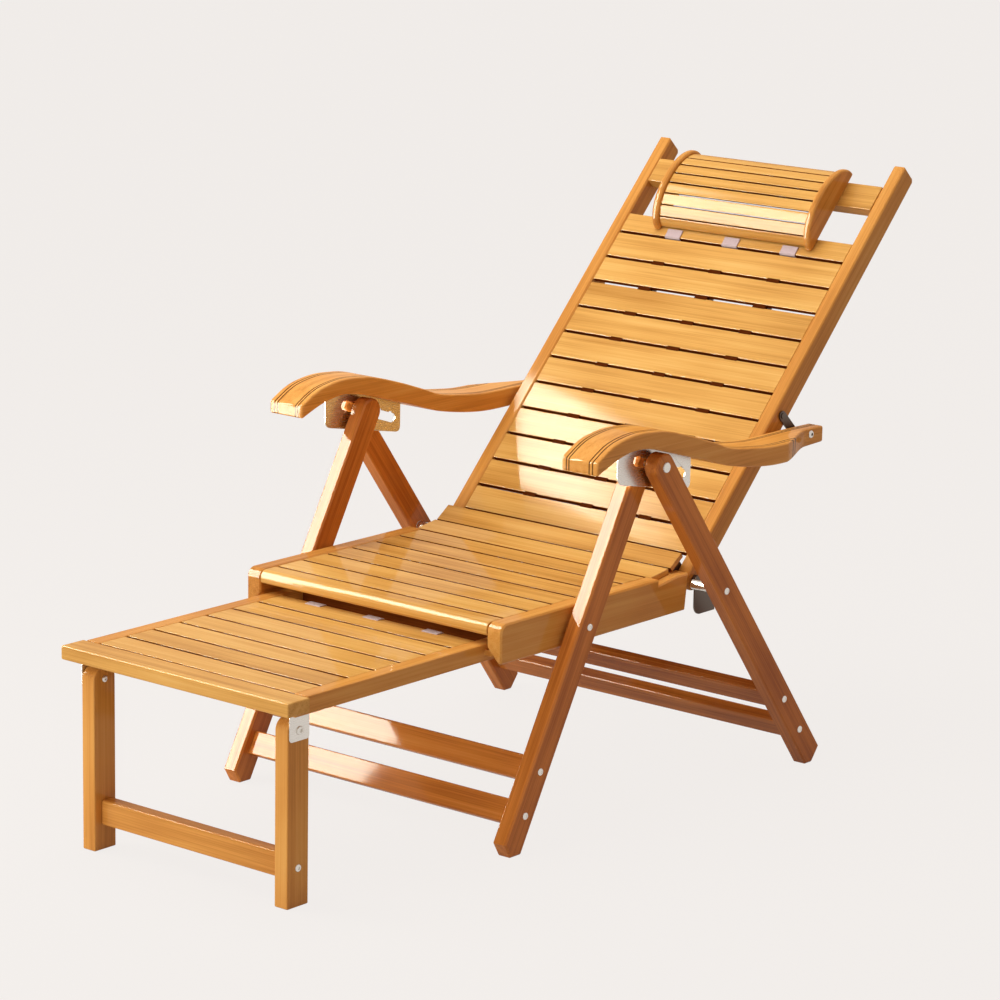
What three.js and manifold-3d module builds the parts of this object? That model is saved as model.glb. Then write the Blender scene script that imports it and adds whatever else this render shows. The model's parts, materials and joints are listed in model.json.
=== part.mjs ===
// Bamboo folding recliner with a pull-out footrest, a ratchet back and a flip-over headrest.
// Millimetres. +X is the sitter's left, -Y the foot end, +Z up, the floor is Z = 0.
// Every piece is drawn in the side plane: local x runs to the rear, local y up, local z across the chair.
import * as THREE from 'three';
import { ConvexGeometry } from 'three/addons/geometries/ConvexGeometry.js';
import { mergeVertices } from 'three/addons/utils/BufferGeometryUtils.js';
import Module from 'manifold-3d';

const wasm = await Module();
wasm.setup();

// Clearances and edges
const gap = 0.3;
const overrun = 3;
const edgeRound = 2.5;
const slatEdge = 1.5;
const steelEdge = 0.4;
const roundSteps = 16;
const arcSteps = 6;
const cornerSteps = 2;
const curveSteps = 2;

// Whole chair
const pivotHeight = 554;
const pivotAheadOfCentre = 12.7;

// Legs
const legDepth = 43;
const legThickness = 26.1;
const legTop = 20.5;
const frontLegInner = 264.6;
const rearLegInner = 303.7;
const frontLegLean = THREE.MathUtils.degToRad(28.75);
const rearLegLean = THREE.MathUtils.degToRad(37.24);
const frontFootFlat = 24;
const rearFootFlat = 17;
const frontToeHeight = 22;
const rearToeHeight = 24;
const stretcherWidth = 38;
const stretcherAhead = 8.5;
const stretcherBehind = 10.5;
const frontStretcherHeights = [119.8, 58.6];
const rearStretcherHeights = [122.9, 63.2];
const seatBoltDownLeg = 264.5;
const restBoltDownLeg = 276.7;
const restBoltForward = 4.4;

// Bolts
const boltRadius = 5;
const boltHole = boltRadius + gap;
const boltHeadRadius = 8;
const boltHeadHeight = 2.6;
const screwHeadRadius = 5.5;
const screwHeadHeight = 2;
const headShares = [[1, 0.45], [0.72, 0.85], [0, 1]];
const sleeveRadius = 8;

// Seat
const seatRailInner = 230.4;
const seatRailThickness = 28.4;
const seatRailAhead = 169;
const seatRailPastKnee = 25.8;
const seatRailRise = 29;
const seatRailDrop = 32;
const seatRailNose = 14;
const seatRailToe = 5;
const toeCutRise = 26;
const toeCutWidth = 25.5;
const toeCutRun = 60;
const seatRailHeelSlant = 7;
const seatSlatPitch = 57.2;
const slatGap = 5;
const seatSlatCount = 6;
const seatSlatThickness = 9;
const seatSlatSink = 2.5;
const nosingWidth = 35.5;
const nosingDrop = 21;
const nosingNose = 11;
const wideSlatHalf = 241;
const rearSlatGap = 2.3;
const rearSlatWidth = 46.5;
const rearSlatTilt = THREE.MathUtils.degToRad(8.5);
const kneeSlatPastRear = 49.2;
const kneeSlatRise = 33.9;
const kneeSlatWidth = 40.2;
const kneeSlatTilt = THREE.MathUtils.degToRad(34.9);
const bandWidth = 33;
const bandThickness = 2;
const bandOffset = 119;
const grooveHeight = 12;
const grooveDepth = 7;
const grooveSink = 43;

// Seat to back hinge
const hingePastRail = 20;
const hingeRise = 11.9;
const hingePlateThickness = 3;
const hingePlateReach = 78;
const hingePlateHalf = 13;
const hookThickness = 2.6;
const hookDrop = 56;
const hookReach = 46;
const hookWidth = 15;
const hookShoulder = 30;

// Back
const backLean = THREE.MathUtils.degToRad(46.29);
const backRailInner = 230.5;
const backRailThickness = 23.9;
const backRailDepth = 36.4;
const backRailPastTop = 44;
const backRailChamfer = 5;
const backSlatStart = 31.5;
const backSlatPitch = 52.73;
const backSlatCount = 11;
const backSlatThickness = 8.5;
const backSlatSink = 2;
const headSlatWidth = 36;
const headWindow = 69.47;
const topRailWidth = 48;
const topRailThickness = 20;

// Arms
const armWidth = 70;
const armInner = 262;
const armBehindBolt = 34.8;
const armRise = 100;
const armBase = -38;
const armNoseAhead = 168;
const armTongueWidth = 29;
const armSweepStart = 482;
const armSweepLength = 105;
const armSweepShares = [[0.8, 0], [0.4, 0.64]];
const armBoltAlongBack = 317.7;
const armBoltBehindRail = 42.7;
const armBoltRadius = 3.5;
const linkThickness = 3;
const linkHalf = 12;
const armTopShares = [
  [0, 0.71], [0.047, 0.87], [0.087, 0.95], [0.148, 1], [0.204, 0.99], [0.267, 0.94], [0.365, 0.77],
  [0.457, 0.58], [0.532, 0.42], [0.641, 0.32], [0.725, 0.28], [0.889, 0.28], [1, 0.27],
];
const armUnderShares = [
  [1, 0.01], [0.782, -0.03], [0.662, 0], [0.526, 0.14], [0.425, 0.33], [0.327, 0.51], [0.213, 0.71],
  [0.142, 0.75], [0.073, 0.67], [0, 0.5],
];

// Ratchet plates, measured from the leg pivot
const ratchetThickness = 2;
const ratchetAhead = 77;
const ratchetBehind = 104;
const ratchetDrop = 35;
const ratchetSlope = THREE.MathUtils.degToRad(-10.6);
const ratchetLet = 9;
const ratchetCorner = 12;
const windowSlope = THREE.MathUtils.degToRad(-18);
const windowAhead = 41;
const windowBehind = 95;
const windowAbove = 7;
const windowBelow = 8;
const toothPitch = 27;
const toothCount = 4;
const toothRadius = 6;
const toothRise = 3.5;

// Footrest
const footRailOuter = 222.6;
const footRailThickness = 26;
const footRailUnderSeatBolt = 7.6;
const footRailDepth = 26.5;
const footReach = 679;
const footInnerReach = 216;
const footNosingHalf = 228.9;
const footNosingDepth = 46;
const footNosingOverhang = 45;
const footNosingSink = 2.1;
const footNosingThickness = 19.7;
const footSlatPitch = 56.8;
const footSlatCount = 7;
const footSlatThickness = 8;
const footSlatSink = 3;
const footBandOffset = 123;
const footBandReach = 14;
const tongueHeight = 10;
const tongueLength = 74;

// Foot legs
const footLegInner = 182.5;
const footLegThickness = 25.8;
const footLegDepth = 44;
const footLegTop = 19;
const footLegBehindFront = 44;
const footLegPivotDrop = 25;
const footStretcherDepth = 23;
const footStretcherWidth = 38;
const footStretcherHeight = 58.5;
const footStretcherSetback = 7.5;
const bracketThickness = 1.6;
const bracketHalf = 20.4;
const bracketDrop = 48;

// Headrest
const pillowHalf = 163;
const pillowPastHeadSlat = 10.47;
const pillowChord = 162;
const pillowHeight = 46;
const pillowEndThickness = 13;
const pillowSlatThickness = 7;
const pillowSlatCount = 9;
const pillowGroove = 1.6;
const pillowInset = 6;

// Materials
function finish(color, roughness, metalness) {
  return new THREE.MeshStandardMaterial({ color, roughness, metalness });
}
const honeyBamboo = () => finish(0xd9963f, 0.32, 0);
const railBamboo = () => finish(0xc47a35, 0.34, 0);
const legBamboo = () => finish(0xb0703c, 0.34, 0);
const zincSteel = () => finish(0xc9c8c3, 0.3, 1);
const mauveWebbing = () => finish(0xb39aa3, 0.8, 0);

// Solids
function toSolid(geometry) {
  const bare = geometry.clone();
  bare.deleteAttribute('normal');
  bare.deleteAttribute('uv');
  const merged = mergeVertices(bare);
  const vertProperties = new Float32Array(merged.attributes.position.array);
  const triVerts = new Uint32Array(merged.index.array);
  return new wasm.Manifold(new wasm.Mesh({ numProp: 3, vertProperties, triVerts }));
}

function toGeometry(solid) {
  const mesh = solid.getMesh();
  const geometry = new THREE.BufferGeometry();
  geometry.setAttribute('position', new THREE.BufferAttribute(mesh.vertProperties, mesh.numProp));
  geometry.setIndex(new THREE.BufferAttribute(mesh.triVerts, 1));
  geometry.computeVertexNormals();
  return geometry;
}

function join(...geometries) {
  return toGeometry(geometries.map(toSolid).reduce((whole, next) => whole.add(next)));
}

function cut(geometry, ...cutters) {
  return toGeometry(cutters.map(toSolid).reduce((whole, next) => whole.subtract(next), toSolid(geometry)));
}

function meet(first, second) {
  return toGeometry(toSolid(first).intersect(toSolid(second)));
}

// The left-hand twin of a piece drawn for the right-hand side
function twin(geometry, side) {
  if (side > 0) return geometry;
  const copy = geometry.index ? geometry.clone() : mergeVertices(geometry);
  copy.scale(1, 1, -1);
  const index = copy.index.array;
  for (let i = 0; i < index.length; i += 3) {
    [index[i], index[i + 1]] = [index[i + 1], index[i]];
  }
  return copy;
}

// The solid that wraps a handful of points
function wedge(points) {
  return new ConvexGeometry(points.map((point) => new THREE.Vector3(...point)));
}

// Extrusions across the chair
function plate(shape, from, to, edge, steps = arcSteps) {
  const geometry = new THREE.ExtrudeGeometry(shape, {
    depth: to - from - 2 * edge,
    bevelEnabled: edge > 0,
    bevelThickness: edge,
    bevelSize: edge,
    bevelOffset: -edge,
    bevelSegments: 1,
    curveSegments: steps,
  });
  geometry.translate(0, 0, from + edge);
  return geometry;
}

function polygon(points) {
  return new THREE.Shape(points.map(([x, y]) => new THREE.Vector2(x, y)));
}

// A rectangle with rounded corners between two opposite corners
function slab(left, bottom, right, top, radius) {
  const shape = new THREE.Shape();
  shape.moveTo(left + radius, bottom);
  shape.lineTo(right - radius, bottom);
  shape.absarc(right - radius, bottom + radius, radius, -Math.PI / 2, 0);
  shape.lineTo(right, top - radius);
  shape.absarc(right - radius, top - radius, radius, 0, Math.PI / 2);
  shape.lineTo(left + radius, top);
  shape.absarc(left + radius, top - radius, radius, Math.PI / 2, Math.PI);
  shape.lineTo(left, bottom + radius);
  shape.absarc(left + radius, bottom + radius, radius, Math.PI, 1.5 * Math.PI);
  return shape;
}

function rod(radius, from, to, x = 0, y = 0) {
  const geometry = new THREE.CylinderGeometry(radius, radius, to - from, roundSteps);
  geometry.rotateX(Math.PI / 2);
  geometry.translate(x, y, (from + to) / 2);
  return geometry;
}

// A turned piece on an axis across the chair, from pairs of radius and place
function turned(profile) {
  const points = profile.map(([radius, place]) => new THREE.Vector2(radius, place));
  const geometry = new THREE.LatheGeometry(points, roundSteps);
  geometry.rotateX(Math.PI / 2);
  return geometry;
}

function dome(radius, height, from, x = 0, y = 0) {
  const crown = headShares.map(([width, rise]) => [radius * width, from + height * rise]);
  const geometry = turned([[0, from - height / 2], [radius, from - height / 2], ...crown]);
  geometry.translate(x, y, 0);
  return geometry;
}

function piece(name, geometry, material, parent) {
  const mesh = new THREE.Mesh(geometry, material);
  mesh.name = name;
  parent.add(mesh);
  return mesh;
}

function group(parent, x, y, turn = 0) {
  const place = new THREE.Group();
  place.position.set(x, y, 0);
  place.rotation.z = turn;
  parent.add(place);
  return place;
}

const sides = [['right', 1], ['left', -1]];

// The side plane, with the leg pivot over its origin
const chair = new THREE.Group();
const sidePlane = new THREE.Group();
sidePlane.quaternion.setFromRotationMatrix(new THREE.Matrix4().makeBasis(
  new THREE.Vector3(0, 1, 0),
  new THREE.Vector3(0, 0, 1),
  new THREE.Vector3(1, 0, 0),
));
sidePlane.position.y = -pivotAheadOfCentre;
chair.add(sidePlane);

// Legs
// A point on a leg's edge, where that edge is at some height over the floor
function legEdge(lean, across, height) {
  const down = (pivotHeight - height + across * Math.sin(lean)) / Math.cos(lean);
  return [across, -down];
}

function legOutline(lean, footFlat, toeHeight) {
  const half = legDepth / 2;
  const toward = lean < 0 ? 1 : -1;
  const heel = legEdge(lean, toward * half, 0);
  const floorEnd = [
    heel[0] - toward * footFlat * Math.cos(lean),
    heel[1] + toward * footFlat * Math.sin(lean),
  ];
  const toe = legEdge(lean, -toward * half, toeHeight);
  const foot = toward > 0 ? [toe, floorEnd, heel] : [heel, floorEnd, toe];
  const shape = new THREE.Shape();
  shape.moveTo(...foot[0]);
  shape.lineTo(...foot[1]);
  shape.lineTo(...foot[2]);
  shape.absellipse(0, 0, half, legTop, 0, Math.PI);
  return shape;
}

const sleeveInner = frontLegInner - gap;
const frontLegOuter = frontLegInner + legThickness;
const rearLegOuter = rearLegInner + legThickness;
const seatRailOuter = seatRailInner + seatRailThickness;
const downLeg = (height, lean) => (pivotHeight - height) / Math.cos(lean);
const frontStretchersDownLeg = frontStretcherHeights.map((height) => downLeg(height, frontLegLean));
const rearStretchersDownLeg = rearStretcherHeights.map((height) => downLeg(height, rearLegLean));

function makeFrontLeg() {
  const leg = plate(legOutline(-frontLegLean, frontFootFlat, frontToeHeight), frontLegInner, frontLegOuter,
    edgeRound);
  const pivotBolt = [
    rod(boltRadius, frontLegInner + edgeRound, rearLegOuter + gap),
    dome(boltHeadRadius, boltHeadHeight, rearLegOuter + gap + boltHeadHeight / 2),
  ];
  const seatBolt = [
    rod(boltRadius, seatRailInner + seatRailThickness / 2, frontLegOuter, 0, -seatBoltDownLeg),
    rod(sleeveRadius, seatRailOuter + gap, frontLegInner + edgeRound, 0, -seatBoltDownLeg),
    dome(screwHeadRadius, screwHeadHeight, frontLegOuter, 0, -seatBoltDownLeg),
  ];
  const screws = frontStretchersDownLeg.map(
    (down) => dome(screwHeadRadius, screwHeadHeight, frontLegOuter, 0, -down));
  return join(leg, ...pivotBolt, ...seatBolt, ...screws);
}

function makeRearLeg() {
  const leg = plate(legOutline(rearLegLean, rearFootFlat, rearToeHeight), rearLegInner, rearLegOuter,
    edgeRound);
  const restBolt = [
    rod(sleeveRadius, sleeveInner, rearLegInner + edgeRound, -restBoltForward, -restBoltDownLeg),
    dome(screwHeadRadius, screwHeadHeight, rearLegOuter, -restBoltForward, -restBoltDownLeg),
  ];
  const screws = rearStretchersDownLeg.map(
    (down) => dome(screwHeadRadius, screwHeadHeight, rearLegOuter, 0, -down));
  const bored = cut(leg, rod(boltHole, rearLegInner - overrun, rearLegOuter + overrun));
  return join(bored, ...restBolt, ...screws);
}

function makeStretcher(legInner) {
  const reach = legInner - gap;
  const section = slab(-stretcherAhead, -stretcherWidth / 2, stretcherBehind, stretcherWidth / 2,
    edgeRound);
  return plate(section, -reach, reach, 0, cornerSteps);
}

const frontFrame = group(sidePlane, 0, pivotHeight, -frontLegLean);
const rearFrame = group(sidePlane, 0, pivotHeight, rearLegLean);
for (const [sideName, side] of sides) {
  piece(`front_leg_${sideName}`, twin(makeFrontLeg(), side), legBamboo(), frontFrame);
  piece(`rear_leg_${sideName}`, twin(makeRearLeg(), side), legBamboo(), rearFrame);
}
['upper', 'lower'].forEach((level, i) => {
  piece(`front_stretcher_${level}`, makeStretcher(frontLegInner), legBamboo(), frontFrame)
    .position.y = -frontStretchersDownLeg[i];
  piece(`rear_stretcher_${level}`, makeStretcher(rearLegInner), legBamboo(), rearFrame)
    .position.y = -rearStretchersDownLeg[i];
});

// Seat, drawn from the bolt that carries it
const seatBoltX = -seatBoltDownLeg * Math.sin(frontLegLean);
const seatBoltY = pivotHeight - seatBoltDownLeg * Math.cos(frontLegLean);
const seat = group(sidePlane, seatBoltX, seatBoltY);

const seatSlatTop = seatRailRise - seatSlatSink;
const seatSlatUnder = seatSlatTop - seatSlatThickness;
const seatSlatsStart = nosingWidth - seatRailAhead + slatGap;
const rearSlatAhead = seatSlatsStart + seatSlatCount * seatSlatPitch - slatGap + rearSlatGap;
const rearSlatSeat = seatRailRise - seatSlatThickness;
const kneeSlatAhead = rearSlatAhead + kneeSlatPastRear;
const seatRailBehind = kneeSlatAhead + seatRailPastKnee;
const hingeAhead = seatRailBehind + hingePastRail;

// The rail's front end is cut away below, on the side where the footrest runs
function makeToeCut() {
  const ahead = -seatRailAhead;
  const under = -seatRailDrop;
  return wedge([
    [ahead, under + toeCutRise, seatRailInner],
    [ahead - overrun, under + toeCutRise, seatRailInner],
    [ahead, under + toeCutRise, seatRailInner - overrun],
    [ahead, under, seatRailInner + toeCutWidth],
    [ahead - overrun, under, seatRailInner + toeCutWidth],
    [ahead, under - overrun, seatRailInner + toeCutWidth],
    [ahead + toeCutRun, under, seatRailInner],
    [ahead + toeCutRun, under - overrun, seatRailInner],
    [ahead + toeCutRun, under, seatRailInner - overrun],
    [ahead - overrun, under - overrun, seatRailInner - overrun],
  ]);
}

function makeSeatRail() {
  const shape = new THREE.Shape();
  shape.moveTo(-seatRailAhead + seatRailToe, -seatRailDrop);
  shape.lineTo(seatRailBehind - seatRailHeelSlant, -seatRailDrop);
  shape.lineTo(seatRailBehind, seatRailRise - seatSlatSink);
  shape.lineTo(rearSlatAhead - gap + rearSlatWidth * Math.cos(rearSlatTilt),
    rearSlatSeat - gap + rearSlatWidth * Math.sin(rearSlatTilt));
  shape.lineTo(rearSlatAhead - gap, rearSlatSeat - gap);
  shape.lineTo(rearSlatAhead - gap, seatRailRise);
  shape.lineTo(-seatRailAhead + seatRailNose, seatRailRise);
  shape.absarc(-seatRailAhead + seatRailNose, seatRailRise - seatRailNose, seatRailNose, Math.PI / 2,
    Math.PI);
  shape.lineTo(-seatRailAhead, -seatRailDrop + seatRailToe);
  shape.absarc(-seatRailAhead + seatRailToe, -seatRailDrop + seatRailToe, seatRailToe, Math.PI,
    1.5 * Math.PI);
  const rail = plate(shape, seatRailInner, seatRailOuter, edgeRound);
  const bore = rod(boltHole, seatRailInner + seatRailThickness / 2 - gap, seatRailOuter + overrun);
  const grooveMiddle = seatRailRise - grooveSink - grooveHeight / 2;
  const groove = plate(
    polygon([
      [-seatRailAhead - overrun, grooveMiddle - grooveHeight / 2],
      [seatRailBehind - grooveHeight, grooveMiddle - grooveHeight / 2],
      [seatRailBehind - grooveHeight, grooveMiddle + grooveHeight / 2],
      [-seatRailAhead - overrun, grooveMiddle + grooveHeight / 2],
    ]),
    seatRailInner - overrun, seatRailInner + grooveDepth, 0);
  return cut(rail, bore, groove, makeToeCut());
}

function makeSlat(width, thickness, halfLength) {
  return plate(slab(0, -thickness, width, 0, slatEdge), -halfLength, halfLength, 0, cornerSteps);
}

function makeSeatNosing() {
  const half = seatRailInner - gap;
  const under = seatRailRise - nosingDrop;
  const shape = new THREE.Shape();
  shape.moveTo(-seatRailAhead + edgeRound, under);
  shape.lineTo(-seatRailAhead + nosingWidth, under);
  shape.lineTo(-seatRailAhead + nosingWidth, seatSlatTop);
  shape.lineTo(-seatRailAhead + nosingNose, seatSlatTop);
  shape.absarc(-seatRailAhead + nosingNose, seatSlatTop - nosingNose, nosingNose, Math.PI / 2, Math.PI);
  shape.lineTo(-seatRailAhead, under + edgeRound);
  return plate(shape, -half, half, 0);
}

// A point under the knee slat, along its width
function underKnee(along) {
  const under = seatSlatThickness + gap;
  return [
    kneeSlatAhead + along * Math.cos(kneeSlatTilt) + under * Math.sin(kneeSlatTilt),
    kneeSlatRise + along * Math.sin(kneeSlatTilt) - under * Math.cos(kneeSlatTilt),
  ];
}

// Screwed to the rail's inner face, with an ear that carries the knee slat
function makeHingePlate() {
  const tail = hingeAhead - hingePlateReach;
  const shape = new THREE.Shape();
  shape.moveTo(tail, hingeRise - hingePlateHalf);
  shape.lineTo(hingeAhead, hingeRise - hingePlateHalf);
  shape.absarc(hingeAhead, hingeRise, hingePlateHalf, -Math.PI / 2, Math.PI / 4);
  shape.lineTo(...underKnee(kneeSlatWidth - hingePlateHalf / 2));
  shape.lineTo(...underKnee(hingePlateHalf / 2));
  shape.lineTo(kneeSlatAhead, hingeRise + hingePlateHalf / 2);
  shape.lineTo(tail, hingeRise + hingePlateHalf / 2);
  const outer = seatRailInner - gap;
  const sheet = plate(shape, outer - hingePlateThickness, outer, steelEdge);
  return cut(sheet, rod(boltHole, outer - hingePlateThickness - overrun, outer + overrun, hingeAhead,
    hingeRise));
}

for (const [sideName, side] of sides) {
  piece(`seat_rail_${sideName}`, twin(makeSeatRail(), side), railBamboo(), seat);
  piece(`hinge_plate_${sideName}`, twin(makeHingePlate(), side), zincSteel(), seat);
}
piece('seat_nosing', makeSeatNosing(), honeyBamboo(), seat);
for (let i = 0; i < seatSlatCount; i += 1) {
  const slat = makeSlat(seatSlatPitch - slatGap, seatSlatThickness, seatRailInner - gap);
  piece(`seat_slat_${i + 1}`, slat, honeyBamboo(), seat)
    .position.set(seatSlatsStart + i * seatSlatPitch, seatSlatTop, 0);
}
const rearSlat = piece('seat_slat_rear', makeSlat(rearSlatWidth, seatSlatThickness, wideSlatHalf),
  honeyBamboo(), seat);
rearSlat.position.set(rearSlatAhead, seatRailRise, 0);
rearSlat.rotation.z = rearSlatTilt;
const kneeSlat = piece('seat_slat_knee', makeSlat(kneeSlatWidth, seatSlatThickness, wideSlatHalf),
  honeyBamboo(), seat);
kneeSlat.position.set(kneeSlatAhead, kneeSlatRise, 0);
kneeSlat.rotation.z = kneeSlatTilt;

// Hinge pins with the hooks that hang from them
const hinge = group(seat, hingeAhead, hingeRise);
const backRailOuter = backRailInner + backRailThickness;
const hingePlateInner = seatRailInner - gap - hingePlateThickness;

// The hook swings clear outside the seat rail, on a collar over the pin
function makeHingeHook() {
  const pinHead = boltHeadHeight + gap;
  const inner = seatRailOuter + gap;
  const pin = turned([
    [0, hingePlateInner - pinHead], [boltHeadRadius, hingePlateInner - pinHead],
    [boltHeadRadius, hingePlateInner - gap], [boltRadius, hingePlateInner - gap],
    [boltRadius, backRailOuter + gap], [hookWidth / 2, backRailOuter + gap],
    [hookWidth / 2, inner + hookThickness / 2], [0, inner + hookThickness / 2],
  ]);
  const shape = new THREE.Shape();
  const bend = hookWidth;
  shape.moveTo(-hookWidth / 2, 0);
  shape.lineTo(-hookWidth / 2, -hookDrop + bend);
  shape.absarc(-hookWidth / 2 + bend, -hookDrop + bend, bend, Math.PI, 1.5 * Math.PI);
  shape.lineTo(hookReach, -hookDrop);
  shape.lineTo(hookReach, -hookShoulder);
  shape.lineTo(hookWidth / 2, 0);
  shape.absarc(0, 0, hookWidth / 2, 0, Math.PI);
  return join(pin, plate(shape, inner, inner + hookThickness, steelEdge));
}

for (const [sideName, side] of sides) {
  piece(`hinge_hook_${sideName}`, twin(makeHingeHook(), side), zincSteel(), hinge);
}

// Back, drawn from the hinge along its rails
const back = group(hinge, 0, 0, backLean);
const backFront = backRailDepth / 2;
const backSlatFront = backFront - backSlatSink;
const backSlatUnder = backSlatFront - backSlatThickness;
const headSlatStart = backSlatStart + backSlatCount * backSlatPitch;
const topRailStart = headSlatStart + headSlatWidth + headWindow;
const backRailLength = topRailStart + topRailWidth + backRailPastTop;
const backSlatHalf = backRailInner - gap;

function makeBackRail() {
  const half = backRailDepth / 2;
  const shape = new THREE.Shape();
  shape.absarc(0, 0, half, Math.PI / 2, 1.5 * Math.PI);
  shape.lineTo(backRailLength - backRailChamfer, -half);
  shape.lineTo(backRailLength, -half + backRailChamfer);
  shape.lineTo(backRailLength, half);
  const rail = plate(shape, backRailInner, backRailOuter, edgeRound);
  const linkBore = rod(boltHole, backRailOuter - backRailThickness / 2 - gap, backRailOuter + overrun,
    armBoltAlongBack);
  return cut(rail, rod(boltHole, backRailInner - overrun, backRailOuter + overrun), linkBore);
}

// Webbing that the slats are fixed to
function makeBackBand() {
  const top = backSlatUnder - gap;
  const end = headSlatStart + headSlatWidth - slatEdge;
  const shape = polygon([
    [backSlatStart + slatEdge, top - bandThickness], [end, top - bandThickness], [end, top],
    [backSlatStart + slatEdge, top],
  ]);
  return plate(shape, -bandWidth / 2, bandWidth / 2, 0);
}

for (const [sideName, side] of sides) {
  piece(`back_rail_${sideName}`, twin(makeBackRail(), side), railBamboo(), back);
  piece(`back_band_${sideName}`, makeBackBand(), mauveWebbing(), back).position.z = side * bandOffset;
}
piece('back_band_centre', makeBackBand(), mauveWebbing(), back);
for (let i = 0; i < backSlatCount; i += 1) {
  const slat = makeSlat(backSlatPitch - slatGap, backSlatThickness, backSlatHalf);
  piece(`back_slat_${i + 1}`, slat, honeyBamboo(), back)
    .position.set(backSlatStart + i * backSlatPitch, backSlatFront, 0);
}
piece('back_slat_head', makeSlat(headSlatWidth, backSlatThickness, backSlatHalf), honeyBamboo(), back)
  .position.set(headSlatStart, backSlatFront, 0);
piece('back_top_rail', makeSlat(topRailWidth, topRailThickness, backSlatHalf), honeyBamboo(), back)
  .position.set(topRailStart, backFront, 0);

// Steel links, pinned in the back rails, that carry the arms on their own pins
const armTongueOuter = armInner + armTongueWidth;

function makeArmLink() {
  const shape = new THREE.Shape();
  shape.absarc(0, 0, linkHalf, 0, Math.PI);
  shape.absarc(0, -armBoltBehindRail, linkHalf, Math.PI, 2 * Math.PI);
  const inner = backRailOuter + gap;
  const outer = inner + linkThickness;
  const railPin = rod(boltRadius, backRailOuter - backRailThickness / 2, outer - steelEdge);
  const collar = rod(boltHeadRadius, outer - steelEdge, armInner - gap, 0, -armBoltBehindRail);
  const armPin = rod(armBoltRadius, outer - steelEdge, armTongueOuter + gap, 0, -armBoltBehindRail);
  const head = dome(boltHeadRadius, boltHeadHeight, armTongueOuter + gap + boltHeadHeight / 2, 0,
    -armBoltBehindRail);
  return join(plate(shape, inner, outer, steelEdge), railPin, collar, armPin, head);
}

const armLink = group(back, armBoltAlongBack, 0);
for (const [sideName, side] of sides) {
  piece(`arm_link_${sideName}`, twin(makeArmLink(), side), zincSteel(), armLink);
}

// Arms, level in this pose, drawn from the leg pivot
const pivot = group(sidePlane, 0, pivotHeight);
const backLine = new THREE.Vector2(1, 0).rotateAround(new THREE.Vector2(), backLean);
const armBoltX = seatBoltX + hingeAhead + armBoltAlongBack * backLine.x + armBoltBehindRail * backLine.y;
const armBoltY = seatBoltY + hingeRise + armBoltAlongBack * backLine.y - armBoltBehindRail * backLine.x
  - pivotHeight;
const armOuter = armInner + armWidth;
const armLength = armNoseAhead + armBoltX + armBehindBolt;
const ratchetInner = (frontLegOuter + rearLegInner - ratchetThickness) / 2;

function armPoints(shares) {
  return shares.map(([along, rise]) => new THREE.Vector2(
    along * armLength - armNoseAhead, rise * armRise + armBase));
}

function makeArmProfile() {
  const top = armPoints(armTopShares);
  const under = armPoints(armUnderShares);
  const shape = new THREE.Shape();
  shape.moveTo(top[0].x, top[0].y);
  shape.splineThru(top.slice(1));
  shape.lineTo(under[0].x, under[0].y);
  shape.splineThru(under.slice(1));
  return new THREE.Shape(shape.getPoints(curveSteps));
}

function ratchetTopLine() {
  return armPoints(armUnderShares).filter((point) => point.x > -ratchetAhead && point.x < ratchetBehind);
}

function makeArmrest() {
  const profile = plate(makeArmProfile(), armInner, armOuter, edgeRound);
  const slot = plate(ratchetOutline(gap), ratchetInner - gap, ratchetInner + ratchetThickness + gap, 0);
  const bore = rod(armBoltRadius + gap, armInner - overrun, armOuter + overrun, armBoltX, armBoltY);
  return cut(meet(profile, makeArmPlan()), slot, bore);
}

// The plan narrows in a hollow sweep to a tongue beside the back rail
function makeArmPlan() {
  const nose = -armNoseAhead;
  const sweep = nose + armSweepStart;
  const tongue = armTongueOuter;
  const shape = new THREE.Shape();
  shape.moveTo(nose - overrun, armInner - overrun);
  shape.lineTo(nose + armLength + overrun, armInner - overrun);
  shape.lineTo(nose + armLength + overrun, tongue);
  shape.lineTo(sweep + armSweepLength, tongue);
  const handles = armSweepShares.map(([along, across]) => new THREE.Vector2(
    sweep + along * armSweepLength, tongue + across * (armOuter - tongue)));
  shape.bezierCurveTo(handles[0].x, handles[0].y, handles[1].x, handles[1].y, sweep, armOuter);
  shape.lineTo(sweep - overrun, armOuter + overrun);
  shape.lineTo(nose - overrun, armOuter + overrun);
  const geometry = new THREE.ExtrudeGeometry(shape, {
    depth: 2 * armRise, bevelEnabled: false, curveSegments: arcSteps,
  });
  geometry.rotateX(Math.PI / 2);
  geometry.translate(0, armRise, 0);
  return geometry;
}

// The plate's outline, let into the arm's underside, widened by a clearance
function ratchetOutline(spread) {
  const bottomAt = (x) => -ratchetDrop + x * Math.tan(ratchetSlope) - spread;
  const ahead = -ratchetAhead - spread;
  const behind = ratchetBehind + spread;
  const line = ratchetTopLine();
  const shape = new THREE.Shape();
  shape.moveTo(ahead, bottomAt(ahead) + ratchetCorner);
  shape.quadraticCurveTo(ahead, bottomAt(ahead), ahead + ratchetCorner, bottomAt(ahead + ratchetCorner));
  shape.lineTo(behind - ratchetCorner, bottomAt(behind - ratchetCorner));
  shape.quadraticCurveTo(behind, bottomAt(behind), behind, bottomAt(behind) + ratchetCorner);
  const first = line[0];
  const last = line[line.length - 1];
  shape.lineTo(behind, first.y + ratchetLet + spread + (behind - first.x) * Math.tan(windowSlope));
  line.forEach((point) => shape.lineTo(point.x, point.y + ratchetLet + spread));
  shape.lineTo(ahead, last.y + ratchetLet + spread);
  return shape;
}

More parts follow.
